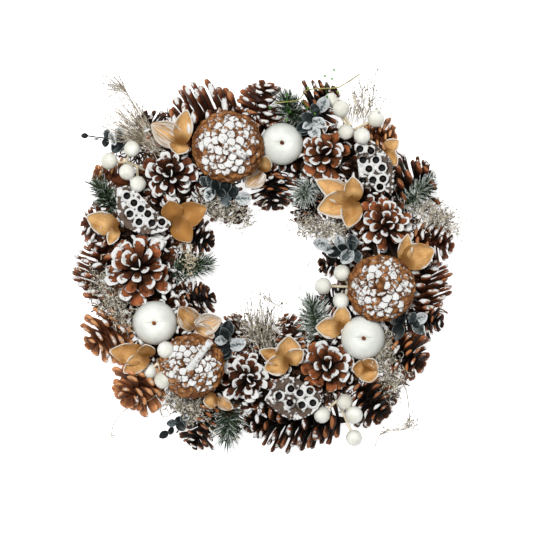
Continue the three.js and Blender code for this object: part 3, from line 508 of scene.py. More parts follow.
skins = table("dark light roughness specular grain bump", {
    "appleSkin": ((0.7, 0.72, 0.66), (0.87, 0.89, 0.83), 0.6, 0.25, 1800.0, 0.0002),
    "berryGlitter": ((0.66, 0.65, 0.54), (0.93, 0.93, 0.86), 0.32, 0.6, 3200.0, 0.0004),
})
materials = {name: paintedMaterial(name, **look) for name, look in looks.items()}
materials.update({name: skinMaterial(name, **skin) for name, skin in skins.items()})
print("materials ready")


# One scale of an open cone, length and width 1 and half thickness 1: thin root, broad spoon-shaped end.
# Dark gives where the painted shade towards a scale's root fades out.
coneScales = table("sides cup cap capPaint rimPaint edges dark stations", {
    "frontScale": (10, 1.3, (0.62, 0.9), 0.9, 0.55, (0.35, 0.6), (0.4, 0.98),
        [(0, 0, 0.14, 0.7), (0.3, -0.2, 0.24, 0.8), (0.6, -0.2, 0.4, 0.9), (0.8, 0, 0.48, 1.0),
        (0.92, 0.3, 0.44, 1.1), (0.98, 0.6, 0.34, 1.0), (1.0, 0.8, 0.2, 0.6)]),
    "sideScale": (8, 0.4, (0.78, 0.96), 0.8, 0.05, (0.5, 0.8), (0.66, 1.0),
        [(0, 0, 0.28, 0.6), (0.4, -0.1, 0.34, 0.7), (0.75, -0.05, 0.46, 0.95), (0.92, 0.15, 0.46, 1.2),
        (1.0, 0.3, 0.3, 0.8)]),
})


def makeConeScale(name, shape):
    stations = shape["stations"]
    scale = extrudedBar(name, shape["sides"], stations)

    def halfWidth(x):
        for (fromX, _, fromWide, _), (toX, _, toWide, _) in zip(stations, stations[1:]):
            if x <= toX:
                return fromWide + (toWide - fromWide) * (x - fromX) / (toX - fromX)

    def edge(co):
        return max(abs(co.y) / halfWidth(clamp(co.x)), smooth(0.93, 1.0, co.x))

    def horseshoe(co):
        return max(smooth(0.5, 0.95, edge(co)) * smooth(*shape["edges"], co.x), smooth(0.86, 0.97, co.x))

    # Painted shade: each scale darkens towards its root and on its underside, where the scales shade each other.
    marked(scale, rim=lambda co: smooth(0.6, 0.95, edge(co)) * smooth(0.45, 0.75, co.x),
           mask=lambda co: shape["capPaint"] * smooth(*shape["cap"], co.x) + shape["rimPaint"] * horseshoe(co),
           deep=lambda co: clamp(1 - smooth(*shape["dark"], co.x) + (0.3 if co.z < -0.5 else 0)))
    moveVertices(scale, lambda co: Vector((co.x, co.y, co.z + shape["cup"] * co.x * (co.y / 0.5) ** 2)))
    scale.data.shade_smooth()
    return scale


scaleMasters = {name: makeConeScale(name, shape) for name, shape in coneScales.items()}

# What all open cones share. A scale is shortened until it is clear of the other pieces, or else left out.
openScales = {"lengths": (1, 0.86, 0.72, 0.58), "testedAt": (0.55, 0.8, 1.0), "aboveTable": 0.4, "loose": 0.13,
              "reach": (0.94, 1.04), "width": (0.85, 1.15), "unevenPaint": 0.35, "lostPaint": 0.8}


# A core and the scales spiralled round it, from butt to tip. The look gives, for a share of the cone's length,
# where a scale starts and ends along the cone, how far it reaches out and how wide it is.
def openCone(owner, cone, look, butt, up, beside, core, draw):
    bar = barAlong("core", [(x, 0, radius, radius) for x, radius in core], butt, up, beside)
    # The core is painted dark all over: painted shade inside the cone.
    parts = [marked(bar, deep=1.0)]
    side = (Vector((0, 1, 0)) if abs(up.z) > 0.9 else upward).cross(up).normalized()
    fore = up.cross(side)
    for i in range(cone["scales"]):
        t = (i + 0.5) / cone["scales"]
        angle = i * goldenAngle + cone["spin"] + draw.gauss(0, openScales["loose"])
        out = side * cos(angle) + fore * sin(angle)
        rootAt, tipAt, reach, width = look(t, cone)
        reach *= 1 - abs(draw.gauss(0, openScales["loose"]))
        root = butt + up * rootAt
        tip = butt + up * (tipAt + draw.gauss(0, cone["lift"]) * mm)
        tip += out * reach * draw.uniform(*openScales["reach"])
        width *= draw.uniform(*openScales["width"])
        for share in openScales["lengths"]:
            end = root.lerp(tip, share)
            if end.z >= openScales["aboveTable"] * mm and not underSpray(end, owner) and not blocked(
                    root, end, openScales["testedAt"], owner, cone["passes"]):
                break
        else:
            continue
        size = ((end - root).length, width, cone["thickness"] * mm * 0.5 * (1 - 0.4 * t))
        twist = Matrix.Rotation(draw.gauss(0, cone["twist"]), 4, "X")
        placing = frameAlong(root, end - root, up) @ twist @ Matrix.Diagonal((*size, 1))
        outer, inner = cone["paint"]
        shade = outer + (inner - outer) * t ** 0.7 + swing(draw, openScales["unevenPaint"])
        shade -= openScales["lostPaint"] if draw.random() < cone["bare"] * (1 - 0.8 * t) else 0
        parts.append(copyOf(scaleMasters[cone["scale"]], placing, shade))
    return painted(joined(parts, "cone"), cone["wood"])


# Open cones that face the viewer. Paint says how white the outermost and the innermost scales are.
frontCones = table("pixel radius height lean bearing spin wood paint scales width", {
    "open_cone_1": ((170, 177), 25, 43, 4, 60, 0.4, "coneDark", (0.0, 1.05), 27, 0.5),
    "open_cone_2": ((141, 272), 34, 50, 9, 95, 1.3, "coneChestnut", (-0.25, 0.95), 32, 0.46),
    "open_cone_3": ((325, 159), 24, 42, 10, 95, 2.2, "coneRimmed", (-0.3, 1.0), 27, 0.56),
    "open_cone_4": ((383, 226), 27, 45, 5, 20, 0.0, "coneChestnut", (0.1, 0.95), 33, 0.46),
    "open_cone_5": ((327, 366), 24.5, 42, 4, 80, 2.9, "coneRimmed", (-0.3, 1.0), 26, 0.56),
    "open_cone_6": ((247, 378), 25, 43, 4, 10, 1.8, "coneDark", (0.25, 1.05), 28, 0.5),
})
frontShape = {"scale": "frontScale", "bare": 0.45, "passes": ("outer", "inner", "base"), "thickness": 2.3,
              "narrowing": 0.45, "twist": 0.3, "lift": 1.6}


def frontLook(t, cone):
    radius, height = cone["radius"] * mm, cone["height"] * mm
    reach = radius * (1.2 - 0.48 * t - 0.7 * t ** 6)
    width = radius * cone["width"] * (1 - cone["narrowing"] * t)
    return height * (0.05 + 0.66 * t), height * (0.12 + 0.86 * t), reach, width


def makeFrontCone(name, values, draw):
    cone = {**values, **frontShape}
    radius, height = cone["radius"], cone["height"]
    whole = openCone(name, cone, frontLook, at(*cone["pixel"], ringTop - 1), bearing(cone["bearing"], cone["lean"]),
                     Vector((0, 1, 0)), [(-6, radius * 0.2), (height * 0.35, radius * 0.24), (height * 0.95, 0.8)],
                     draw)
    dressed([whole], name + "_scales", None, "cone_brown", name)


makeAll("front cones", makeFrontCone, frontCones, 0)


# Cones in the lower layer, round the outside and the inside of the ring: butt, tip, their heights, radius, spin.
lowerCones = {
    "outer_cones_top": [
        ((242, 114), (170, 122), 29, 30, 40, 0.2, "coneSnowy"),
        ((260, 128), (267, 84), 26, 42, 29, 1.2, "coneSnowy"),
        ((306, 118), (334, 90), 26, 34, 27, 0.7, "coneDark"),
    ],
    "outer_cones_upper_right": [
        ((362, 136), (394, 136), 22, 32, 24, 0.5, "coneRaw"),
        ((396, 196), (432, 172), 28, 26, 33, 2.5, "coneDark"),
    ],
    "outer_cones_right": [
        ((412, 238), (452, 246), 24, 36, 24, 1.0, "coneSnowy"),
        ((424, 314), (424, 254), 26, 26, 30, 2.0, "coneSnowy"),
    ],
    "outer_cones_lower_right": [
        ((402, 316), (442, 322), 20, 34, 22, 0.1, "coneDark"),
        ((390, 346), (420, 364), 24, 44, 29, 0.9, "coneChestnut"),
    ],
    "outer_cones_bottom": [
        ((358, 388), (384, 414), 24, 44, 29, 1.7, "coneDark"),
        ((344, 420), (244, 422), 26, 26, 33, 0.6, "coneDark"),
        ((214, 404), (192, 446), 22, 36, 27, 2.6, "coneDark"),
    ],
    "outer_cones_lower_left": [
        ((152, 372), (128, 400), 24, 50, 32, 1.4, "coneRaw"),
        ((124, 320), (92, 346), 24, 42, 32, 0.3, "coneRaw"),
    ],
    "outer_cones_left": [
        ((104, 304), (102, 238), 26, 26, 32, 1.9, "coneSnowy"),
        ((122, 230), (84, 222), 24, 34, 27, 1.1, "coneSnowy"),
    ],
    "outer_cones_upper_left": [
        ((130, 184), (96, 172), 22, 34, 24, 0.8, "coneRaw"),
        ((162, 148), (142, 116), 22, 34, 24, 2.1, "coneDark"),
    ],
    "inner_cones_top": [
        ((214, 188), (240, 220), 20, 32, 22, 0.4, "coneDark"),
        ((272, 174), (274, 208), 22, 32, 25, 1.5, "coneDark"),
        ((322, 192), (299, 222), 20, 30, 20, 2.3, "coneDark"),
    ],
    "inner_cones_right": [
        ((362, 258), (318, 266), 20, 30, 20, 1.9, "coneDark"),
        ((357, 306), (318, 297), 20, 28, 20, 0.9, "coneDark"),
    ],
    "inner_cones_bottom": [
        ((301, 355), (285, 316), 20, 30, 21, 0.2, "coneSnowy"),
        ((264, 361), (261, 324), 18, 24, 19, 1.3, "coneDark"),
        ((225, 355), (238, 316), 20, 32, 21, 2.4, "coneSnowy"),
    ],
    "inner_cones_left": [
        ((178, 310), (212, 295), 20, 32, 23, 0.6, "coneDark"),
        ((174, 262), (203, 268), 14, 18, 15, 1.6, "coneDark"),
        ((178, 232), (212, 243), 20, 32, 21, 2.7, "coneDark"),
    ],
}
lowerShape = {"scale": "sideScale", "bare": 0.35, "passes": (), "twist": 0.12, "lift": 0.4, "paint": (0.1, 0.55),
              "thickShare": 0.14}
lowerCount = {"perLength": 0.72, "extra": 12, "least": 42, "most": 88}


def lowerLook(t, cone):
    radius, length = cone["radius"] * mm, cone["length"]
    outline = radius * sin(pi * (0.12 + 0.8 * t) ** 0.85)
    root = length * (0.04 + 0.86 * t)
    return root, length * (0.04 + 0.96 * t) + 0.2 * outline, outline + 0.06 * radius, radius * (0.42 - 0.12 * t)


seed = 20
for name, cones in lowerCones.items():
    parts = []
    for buttPixel, tipPixel, buttZ, tipZ, radius, spin, wood in cones:
        seed += 1
        butt, tip = at(*buttPixel, buttZ), at(*tipPixel, tipZ)
        length = (tip - butt).length
        count = clamp(lowerCount["perLength"] * length / mm + lowerCount["extra"], lowerCount["least"],
                      lowerCount["most"])
        cone = {**lowerShape, "radius": radius, "length": length, "spin": spin, "wood": wood, "scales": round(count),
                "thickness": lowerShape["thickShare"] * radius}
        core = [(-2, radius * 0.08), (length / mm * 0.3, radius * 0.2), (length / mm * 0.98, 0.8)]
        parts.append(openCone(name, cone, lowerLook, butt, (tip - butt).normalized(), Vector((0, 0.1, 1)), core,
                              random.Random(seed)))
    dressed(parts, name + "_scales", None, "cone_brown", name)
print("lower cones ready")


# Closed cones, glued on by their tips: overlapping diamond scales over an egg, and a stalk on top.
closedCones = table("pixel radius height z bearing stalk paint stalkPaint", {
    "closed_cone_1": ((228, 147), 30, 56, 33, -30, 21, 1.05, 0.9),
    "closed_cone_2": ((381, 288), 28.5, 53, 33, 85, 11, 1.05, 0.3),
    "closed_cone_3": ((192, 366), 27.5, 52, 32, 53, 32, 1.0, 1.0),
})
diamondScale = {"sides": 8, "outline": (0.5, 0.58), "steps": [(0.3, 0.97), (0.08, 0.81), (0.06, 0.6)],
                "corner": 0.93, "shift": 0.05, "count": 250, "across": 1.7, "thickness": 5.0, "tilt": 0.68,
                "jitter": 0.17, "sunk": 1.2, "cover": (0.2, 0.95), "unevenPaint": 0.32}


# One diamond scale about 1 across, raised to a knob in its middle. Its free end points along X.
def makeDiamondScale():
    scale = added("diamondScale", bpy.ops.mesh.primitive_circle_add, vertices=diamondScale["sides"], radius=1,
                  fill_type="NGON")
    editAll()
    bpy.ops.transform.resize(value=(*diamondScale["outline"], 1), center_override=(0, 0, 0))
    stages, height, shift = [], 0, 0
    for rise, share in diamondScale["steps"]:
        height += rise
        shift += diamondScale["shift"]
        stages.append(((diamondScale["shift"], 0, rise), (share, share, 1), (shift, 0, height)))
    extrude(stages)

    def cornered(co):  # drawn in between its four corners
        between = min(1, 4 * abs(co.x * co.y) / max(1e-9, co.xy.length ** 2) / 2)
        return Vector((*(co.xy * (1 - (1 - diamondScale["corner"]) * between)), co.z))

    moveVertices(scale, cornered)
    # Painted shade on the side walls and on the end that lies under the scale above it.
    return marked(
        scale, mask=lambda co: (0.15 + 0.75 * smooth(0.28, 0.41, co.z)) * (1 - 0.5 * smooth(-0.1, -0.5, co.x)),
        rim=lambda co: smooth(0.1, 0.4, co.x) * smooth(0.2, 0.29, co.z) * (1 - smooth(0.32, 0.42, co.z)),
        deep=lambda co: max(1 - smooth(0.3, 0.4, co.z), smooth(-0.15, -0.5, co.x)))


diamondMaster = makeDiamondScale()


def makeClosedCone(name, cone, draw):
    radius, half, count = cone["radius"] * mm, cone["height"] * mm / 2, diamondScale["count"]
    centre = at(*cone["pixel"], cone["z"] + cone["height"] / 2)

    def eggPoint(angle, turn):
        r = radius * sin(angle) * (1 - 0.12 * cos(angle)) * 0.97
        return centre + Vector((r * cos(turn), r * sin(turn), -half * cos(angle) * 0.95))

    egg = added("egg", bpy.ops.mesh.primitive_uv_sphere_add, segments=24, ring_count=16, radius=1)
    moveVertices(egg, lambda co: centre.lerp(eggPoint(acos(clamp(-co.z, -1, 1)), atan2(co.y, co.x)), 0.95))
    # The egg under the scales is painted dark all over: painted shade.
    parts = [marked(egg, deep=1.0)]
    for i in range(count):
        height = -0.97 + 1.965 * (i + 0.5) / count  # of 1, from the lower pole to the upper one
        angle, turn = acos(clamp(-height, -1, 1)), i * goldenAngle
        spot = eggPoint(angle, turn)
        downhill = (eggPoint(angle - 0.03, turn) - spot).normalized()
        normal = Vector((-sin(turn), cos(turn), 0)).cross(downhill).normalized()
        if normal.dot(spot - centre) < 0:
            normal = -normal
        across = diamondScale["across"] * sqrt(4 * pi / count) * cone["radius"] * mm
        across *= 0.8 + 0.2 * sin(angle)
        along = (downhill + normal * diamondScale["tilt"] + wander(draw, diamondScale["jitter"])).normalized()
        size = (across * draw.uniform(0.95, 1.25), across * draw.uniform(0.8, 1.15), diamondScale["thickness"] * mm)
        placing = frameAlong(spot - normal * diamondScale["sunk"] * mm, along, normal, size)
        shade = cone["paint"] * smooth(*diamondScale["cover"], height) + swing(draw, diamondScale["unevenPaint"])
        parts.append(copyOf(diamondMaster, placing, shade))
    foot = at(*cone["pixel"], cone["z"] + cone["height"] * 0.93)
    length = cone["stalk"]
    end = foot + bearing(cone["bearing"], 62 if length > 20 else 45) * length * mm
    end.z = max(end.z, foot.z + 2 * mm)  # a long stalk still rises a little
    stalk = barAlong("stalk", [(-4, 0, 4.6, 4.6), (length * 0.25, 0, 3.3, 3.4), (length * 0.75, 0.3, 3.0, 2.6),
                               (length, 0, 3.3, 2.8)], foot, end - foot, upward)
    marked(stalk, mask=0.4 + 0.55 * cone["stalkPaint"], shade=cone["stalkPaint"])
    dressed([*parts, smoothShaded(stalk, 50)], name + "_scales", "closedCone", "closed_cone_tan", name)


makeAll("closed cones", makeClosedCone, closedCones, 60)


# Foam apples: a round body with a dimple, a pressed crease and a stub of stem.
apples = table("pixel radius crease", {
    "apple_1": ((282, 144), 18.6, 0), "apple_2": ((155, 323), 19.4, 4), "apple_3": ((363, 338), 19.4, -2),
})
appleShape = {"height": 35, "square": 0.05, "dimple": 2.8, "dimpleWidth": 4.5, "creaseDepth": 1.7,
              "creaseWidth": 1.1, "creaseEnd": (6, 10), "stem": 5}


def makeApple(name, apple):
    radius, half, turn = apple["radius"], appleShape["height"] / 2, radians(apple["crease"])
    centre = at(*apple["pixel"], ringTop + half - 2)
    body = added("appleBody", bpy.ops.mesh.primitive_uv_sphere_add, segments=96, ring_count=64, radius=1)

    def shaped(co):
        flat = hypot(co.x, co.y)
        square = 1 + appleShape["square"] * (1 - abs(co.z)) * flat
        x, y, z = co.x * radius * square, co.y * radius * square, co.z * half
        if co.z > 0:
            z -= appleShape["dimple"] * exp(-(flat * radius / appleShape["dimpleWidth"]) ** 2)
            fade = 1 - smooth(*appleShape["creaseEnd"], abs(x * cos(turn) + y * sin(turn)))
            beside = -x * sin(turn) + y * cos(turn)
            z -= appleShape["creaseDepth"] * fade * exp(-(beside / appleShape["creaseWidth"]) ** 2)
        return centre + Vector((x, y, z)) * mm

    # Painted shade in the dimple round the stem.
    marked(body, deep=lambda co: 0.45 * exp(-(hypot(co.x, co.y) / 0.09) ** 2) if co.z > 0 else 0)
    smoothShaded(painted(moveVertices(body, shaped), "appleSkin"), 80)
    stem = barAlong("stem", [(0, 0, 2.1, 2.1), (2.5, 0.2, 1.5, 1.5), (appleShape["stem"], 0.6, 1.7, 1.7)],
                    centre + upward * ((half - appleShape["dimple"] - 1) * mm), bearing(150, 12), Vector((1, 0, 0)))
    # The stem is given its own deeper brown through the same mark.
    dressed([body, painted(marked(stem, deep=0.35), "coneChestnut")], name + "_body", None, "apple_white", name)


for name, apple in apples.items():
    makeApple(name, apple)
print("apples ready")


# Lotus pods: an outline drawn in to a foot, with seed holes that have raised rims.
lotusPods = table("foot z paint patches face holes", {
    "lotus_pod_1": ((142, 222), 62, 1.0, 0.0,
        [(117, 188), (129, 186), (142, 197), (152, 208), (161, 216), (171, 223), (165, 231), (148, 234),
        (130, 230), (119, 219), (116, 203)],
        [(127, 196), (134, 203), (141, 209), (130, 214), (148, 214), (139, 222), (152, 223), (162, 222)]),
    "lotus_pod_2": ((366, 168), 60, 0.75, 3.0,
        [(354, 145), (363, 140), (373, 141), (381, 149), (391, 160), (394, 176), (392, 195), (384, 190),
        (362, 184), (358, 166)],
        [(360, 149), (371, 151), (363, 160), (376, 160), (369, 169), (382, 168), (373, 180), (383, 179),
        (363, 181), (380, 187)]),
    "lotus_pod_3": ((291, 395), 58, 0.8, 7.0,
        [(264, 400), (272, 388), (283, 377), (298, 379), (309, 388), (321, 395), (320, 406), (309, 416),
        (294, 420), (279, 414)],
        [(279, 396), (291, 389), (300, 393), (310, 391), (290, 403), (302, 405), (313, 403)]),
})
# The stages go down the pod: how deep, how much of the outline is left, and how far it has moved to the foot.
podShape = {"depth": 24, "stages": [(-3, 1.0, 0.0), (-9, 0.88, 0.15), (-18, 0.62, 0.6), (-24, 0.36, 1.0),
                                    (-44, 0.2, 1.0)],
            "ridge": 0.01, "holeRadius": 3.5, "holeDepth": 9, "rim": 0.95, "voxel": 0.7, "valley": 1.6, "rough": 0.7,
            "seed": 2.3, "seedDepth": 4.4}


def makePod(name, pod):
    z, holeRadius = pod["z"], podShape["holeRadius"]
    outline = curved([at(*p, z) for p in [*pod["face"], pod["face"][0]]], 4)[:-1]
    centre = sum(outline, Vector()) / len(outline)
    foot = at(*pod["foot"], z - podShape["depth"])
    holes = [at(*hole, z) for hole in pod["holes"]]
    body = added("podBody", bpy.ops.mesh.primitive_circle_add, vertices=len(outline), radius=1, fill_type="NGON")
    for v, place in zip(body.data.vertices, outline):
        v.co = centre + (place - centre) * (1 + podShape["ridge"] * (1 if v.index % 2 else -1))
    editAll()
    stages, middle, share = [], centre, 1
    for drop, nextShare, toFoot in podShape["stages"]:
        nextMiddle = centre.lerp(Vector((foot.x, foot.y, centre.z)), toFoot) + upward * (drop * mm)
        stages.append((nextMiddle - middle, (nextShare / share, nextShare / share, 1), nextMiddle))
        middle, share = nextMiddle, nextShare
    extrude(stages)
    cutter = joined([added("holeCutter", bpy.ops.mesh.primitive_cylinder_add, vertices=18, radius=holeRadius * mm,
                           depth=podShape["holeDepth"] * 2 * mm, location=hole) for hole in holes], "podCutter")
    rims = [added("holeRim", bpy.ops.mesh.primitive_torus_add, major_segments=20, minor_segments=8, location=hole,
                  major_radius=(holeRadius + 0.6) * mm, minor_radius=podShape["rim"] * mm) for hole in holes]
    modified(body, "BOOLEAN", operation="DIFFERENCE", object=cutter, solver="EXACT", use_self=True)
    removed(cutter)
    body = joined([body, *rims], name + "_body")
    modified(body, "REMESH", mode="VOXEL", voxel_size=podShape["voxel"] * mm)
    modified(body, "SMOOTH", factor=0.5, iterations=2)

    def nearest(co, places):
        return min(hypot(co.x - place.x, co.y - place.y) for place in places) / mm

    def weathered(co):  # valleys between the rims, and a rough skin
        between = smooth(holeRadius + 1.4, holeRadius + 2.6, nearest(co, holes)) * smooth(
            0.6, 2.4, nearest(co, outline))
        rough = turbulence(co * 260) * podShape["rough"] - between * podShape["valley"]
        return co + upward * (rough * smooth(z - 5, z - 1, co.z / mm) * mm)

    # Painted shade: dark down inside the holes and in the low ground round them.
    def inHole(co):
        return smooth(0.2, 2.2, z - co.z / mm) if nearest(co, holes) < holeRadius - 0.1 else 0.0

    def deep(co):
        return max(inHole(co), 0.9 * smooth(z - 0.6, z - 1.8, co.z / mm) * (nearest(co, holes) < holeRadius + 3))

    def mask(co):
        patches = 0.9 * turbulence(co * 90 + Vector((pod["patches"], 0, 0))) + 0.6 * turbulence(co * 300)
        return 0.3 + 0.8 * smooth(z - 2.4, z + 0.3, co.z / mm) - 1.5 * inHole(co) + patches

    marked(moveVertices(body, weathered), deep=deep, mask=mask, shade=pod["paint"])
    body.data.shade_smooth()
    seeds = [added("podSeed", bpy.ops.mesh.primitive_uv_sphere_add, segments=12, ring_count=8,
                   radius=podShape["seed"] * mm, location=at(*hole, z - podShape["seedDepth"]))
             for hole in pod["holes"][1::3]]
    # The seeds down in the holes are darkened: painted shade.
    seeds = [smoothShaded(marked(grain, deep=0.5), 80) for grain in seeds]
    dressed([body, *seeds], name + "_husk", "podHusk", "lotus_pod", name)


for name, pod in lotusPods.items():
    makePod(name, pod)
print("lotus pods ready")


# Blades along X, for petals and leaves: a grid shaped by its width, rise and cup, then given thickness.
def makeBlade(name, length, width, rise, cup, widthAt, divisions, twist, wash, hollow=0.0):
    blade = added(name, bpy.ops.mesh.primitive_grid_add, x_subdivisions=divisions[0], y_subdivisions=divisions[1],
                  size=1)

    def edge(s, a):
        return max(abs(a), smooth(0.78, 1.0, s))

    def paint(s, a):
        if wash:
            return wash + 0.3 * edge(s, a)
        return smooth(0.62, 0.93, edge(s, a)) * smooth(0.15, 0.5, s) + 0.2 * smooth(0.7, 1, s)

    def shaped(s, a):
        half = width / 2 * widthAt(s)
        y, arch = a * half, 1 - (1 - s) ** 2
        cupped = cup * half * abs(a) ** 1.8 * (1.3 - 0.6 * s) * (0.2 + 0.8 * smooth(0.1, 0.5, s))
        return Vector((length * s, y, rise * (arch + (s * s - arch) * hollow) + cupped + twist * y * s)) * mm

    def on(value):  # reads a vertex as its share along the blade and its place across it, from -1 to 1
        return lambda co: value(co.x + 0.5, co.y * 2)

    # Painted shade: the blade darkens towards its root, at the bottom of the flower's cup.
    marked(blade, rim=on(lambda s, a: smooth(0.55, 1.0, edge(s, a))), mask=on(paint), along=on(lambda s, a: s),
           across=on(lambda s, a: a), deep=on(lambda s, a: 1 - smooth(0.12, 0.5, s + 0.12 * abs(a))))
    moveVertices(blade, on(shaped))
    return smoothShaded(modified(blade, "SOLIDIFY", thickness=0.7 * mm, offset=0), 55)


# Wood-petal flowers: petals are (bearing, length in pixels, width, rise), and some are washed white all over.
woodFlowers = table("hub root z petals washed tone", {
    "wood_flower_1": ((181, 143), (187, 152), 52, [(148, 33, 21, 12), (79, 32, 16, 13), (255, 12, 17, 9)], (0,)),
    # Flower 2's petals are given a darker tone: painted shade over the flower.
    "wood_flower_2": ((175, 221), (178, 223), 50, [(104, 20, 18, 13), (22, 34, 21, 12), (308, 26, 18, 9)], (),
        (0.0, 0.3)),
    "wood_flower_3": ((117, 229), (127, 231), 48, [(157, 31, 19, 11), (245, 17, 10, 8)]),
    "wood_flower_4": ((354, 201), (352, 206), 52, [(152, 42, 18, 11), (95, 23, 16, 14), (194, 37, 22, 12),
        (256, 27, 18, 10)]),
    "wood_flower_5": ((403, 262), (403, 258), 56, [(82, 27, 12, 13), (22, 32, 22, 11)]),
    "wood_flower_6": ((341, 328), (339, 331), 46, [(88, 23, 15, 14), (178, 25, 18, 12)]),
    "wood_flower_7": ((148, 356), (154, 349), 48, [(172, 37, 18, 11), (214, 28, 15, 9), (95, 12, 15, 17)]),
    "wood_flower_8": ((196, 328), (194, 330), 50, [(127, 26, 19, 13), (20, 27, 18, 13), (335, 20, 14, 9)],
        (0, 1, 2)),
    "wood_flower_9": ((288, 362), (287, 360), 50, [(157, 30, 14, 12), (88, 26, 21, 15), (196, 24, 17, 9),
        (40, 19, 14, 14)]),
    "wood_flower_10": ((262, 171), (261, 169), 42, [(226, 23, 18, 13), (72, 14, 14, 19)], (0,)),
    "wood_flower_11": ((367, 369), (360, 366), 42, [(176, 15, 15, 12), (285, 13, 17, 9), (60, 12, 15, 15)]),
    "wood_flower_12": ((217, 399), (220, 396), 46, [(330, 18, 10, 12), (190, 13, 14, 9)], (0,)),
    "wood_flower_13": ((384, 151), (352, 156), 36, [(35, 17, 12, 9), (310, 19, 13, 7)]),
})
petalShape = {"cup": 0.9, "widen": 1.12, "stalk": 1.6, "divisions": (13, 11), "wash": 0.6, "hollow": 0.8,
              "step": 0.9, "tone": (0.45, 0.85), "twist": 0.2}


def petalWidth(s):
    return max(0.03, sin(pi * min(1, 0.12 + 0.88 * s) ** 0.95)) ** 0.7 * (1 - 0.1 * smooth(0.6, 1, s))


def makeFlower(name, flower, draw):
    hub = at(*flower["hub"], flower["z"] - 1)
    parts = []
    for number, (turn, pixels, width, rise) in enumerate(flower["petals"]):
        wash = petalShape["wash"] if number in flower.get("washed", ()) else 0
        petal = makeBlade("petal", pixels * view["mmPerPixel"], width * petalShape["widen"], rise, petalShape["cup"],
                          petalWidth, petalShape["divisions"], swing(draw, petalShape["twist"]), wash,
                          petalShape["hollow"])
        petal.data.transform(frameAlong(hub + upward * (petalShape["step"] * number * mm), bearing(turn), upward))
        parts.append(marked(petal, shade=draw.uniform(*flower.get("tone", petalShape["tone"]))))
    root = at(*flower["root"], 9)
    stalk = tubes("stalk", [curved([root, root.lerp(hub, 0.5), hub + upward * (1 * mm)], 3)],
                  [petalShape["stalk"] * mm], 6)
    # The stalk under the petals is darkened: painted shade.
    dressed([*parts, marked(stalk, deep=0.9)], name + "_petals", "petalWood", "petal_tan", name)


makeAll("flowers", makeFlower, woodFlowers, 80)


# Berry picks: berries are (pixel x, pixel y, height of the centre, radius).
berryPicks = table("hub hubZ root rootZ berries", {
    "berry_pick_1": ((124, 161), 52, (160, 176), 10,
        [(132, 149, 62, 7.4), (109, 161, 58, 7.8), (127, 172, 66, 7.4), (138, 184, 60, 7.4)]),
    "berry_pick_2": ((350, 124), 50, (340, 146), 10,
        [(341, 109, 58, 7.8), (331, 100, 46, 6.6), (346, 132, 60, 7.2), (362, 136, 66, 7.6),
        (376, 119, 60, 7.8)]),
    "berry_pick_3": ((349, 287), 44, (358, 286), 10, [(342, 273, 58, 7.6), (323, 286, 50, 7.8), (341, 301, 54, 7.6)]),
    "berry_pick_4": ((339, 406), 40, (332, 384), 8,
        [(345, 402, 52, 7.4), (354, 415, 58, 8.2), (322, 415, 46, 7.8), (354, 438, 44, 7.6)]),
    "berry_pick_5": ((158, 364), 50, (158, 356), 8, [(166, 350, 74, 7.9), (149, 372, 40, 7.6), (163, 380, 68, 8)]),
})
berryShape = {"stem": 1.8, "twig": 1.3, "sag": 1.5, "uneven": 0.012}


def makeBerryPick(name, pick, draw):
    root, hub = at(*pick["root"], pick["rootZ"]), at(*pick["hub"], pick["hubZ"])
    paths, radii = [curved([root, root.lerp(hub, 0.5), hub], 4)], [berryShape["stem"] * mm]
    parts = []
    for i, (px, py, z, radius) in enumerate(pick["berries"]):
        centre = at(px, py, z)
        berry = added("berry", bpy.ops.mesh.primitive_uv_sphere_add, segments=24, ring_count=16, radius=radius * mm,
                      location=centre, rotation=(draw.uniform(0, 3), draw.uniform(0, 3), 0))
        wave = draw.uniform(0, 6)
        moveVertices(berry, lambda co: centre + (co - centre) * (
            1 + berryShape["uneven"] * sin(900 * co.x + wave) * cos(800 * co.y)))
        berry.data.shade_smooth()
        parts.append(painted(berry, "berryGlitter"))
        start = hub.lerp(root, 0.06 + 0.1 * i)
        paths.append(curved([start, start.lerp(centre, 0.5) + upward * (berryShape["sag"] * mm), centre], 4))
        radii.append(berryShape["twig"] * mm)
    stems = painted(marked(tubes("berryStems", paths, radii, 6), shade=0.6), "creamStem")
    dressed([*parts, stems], name + "_berries", None, "berry_white", name)


makeAll("berries", makeBerryPick, berryPicks, 110)


# Pine sprigs: a twig from root to tip with needles all round it.
pineSprigs = table("root rootZ tip tipZ needle frost", {
    "pine_sprig_1": ((128, 226), 14, (99, 186), 46, 20, -0.15),
    "pine_sprig_2": ((166, 272), 22, (206, 264), 46, 19, -0.05),
    "pine_sprig_3": ((300, 128), 14, (287, 101), 50, 22, -0.1),
    "pine_sprig_4": ((316, 181), 18, (302, 196), 56, 20, 0.28),
    "pine_sprig_5": ((396, 214), 12, (427, 186), 46, 20, 0.25),
    "pine_sprig_6": ((318, 345), 18, (312, 306), 46, 24, 0.28),
    "pine_sprig_7": ((230, 396), 12, (228, 434), 44, 24, 0.0),
})
needleShape = {"count": 280, "radius": 0.45, "lift": 0.3, "splay": (64, 40, 14), "shortened": 0.6}
needleMaster = extrudedBar("needle", 4, [(0, 0, 0.8, 0.8), (0.55, 0.03, 1.0, 1.0), (1.0, 0.0, 0.25, 0.25)])
marked(needleMaster, mask=lambda co: 0.35 + 0.5 * smooth(0.3, 1.0, co.x))


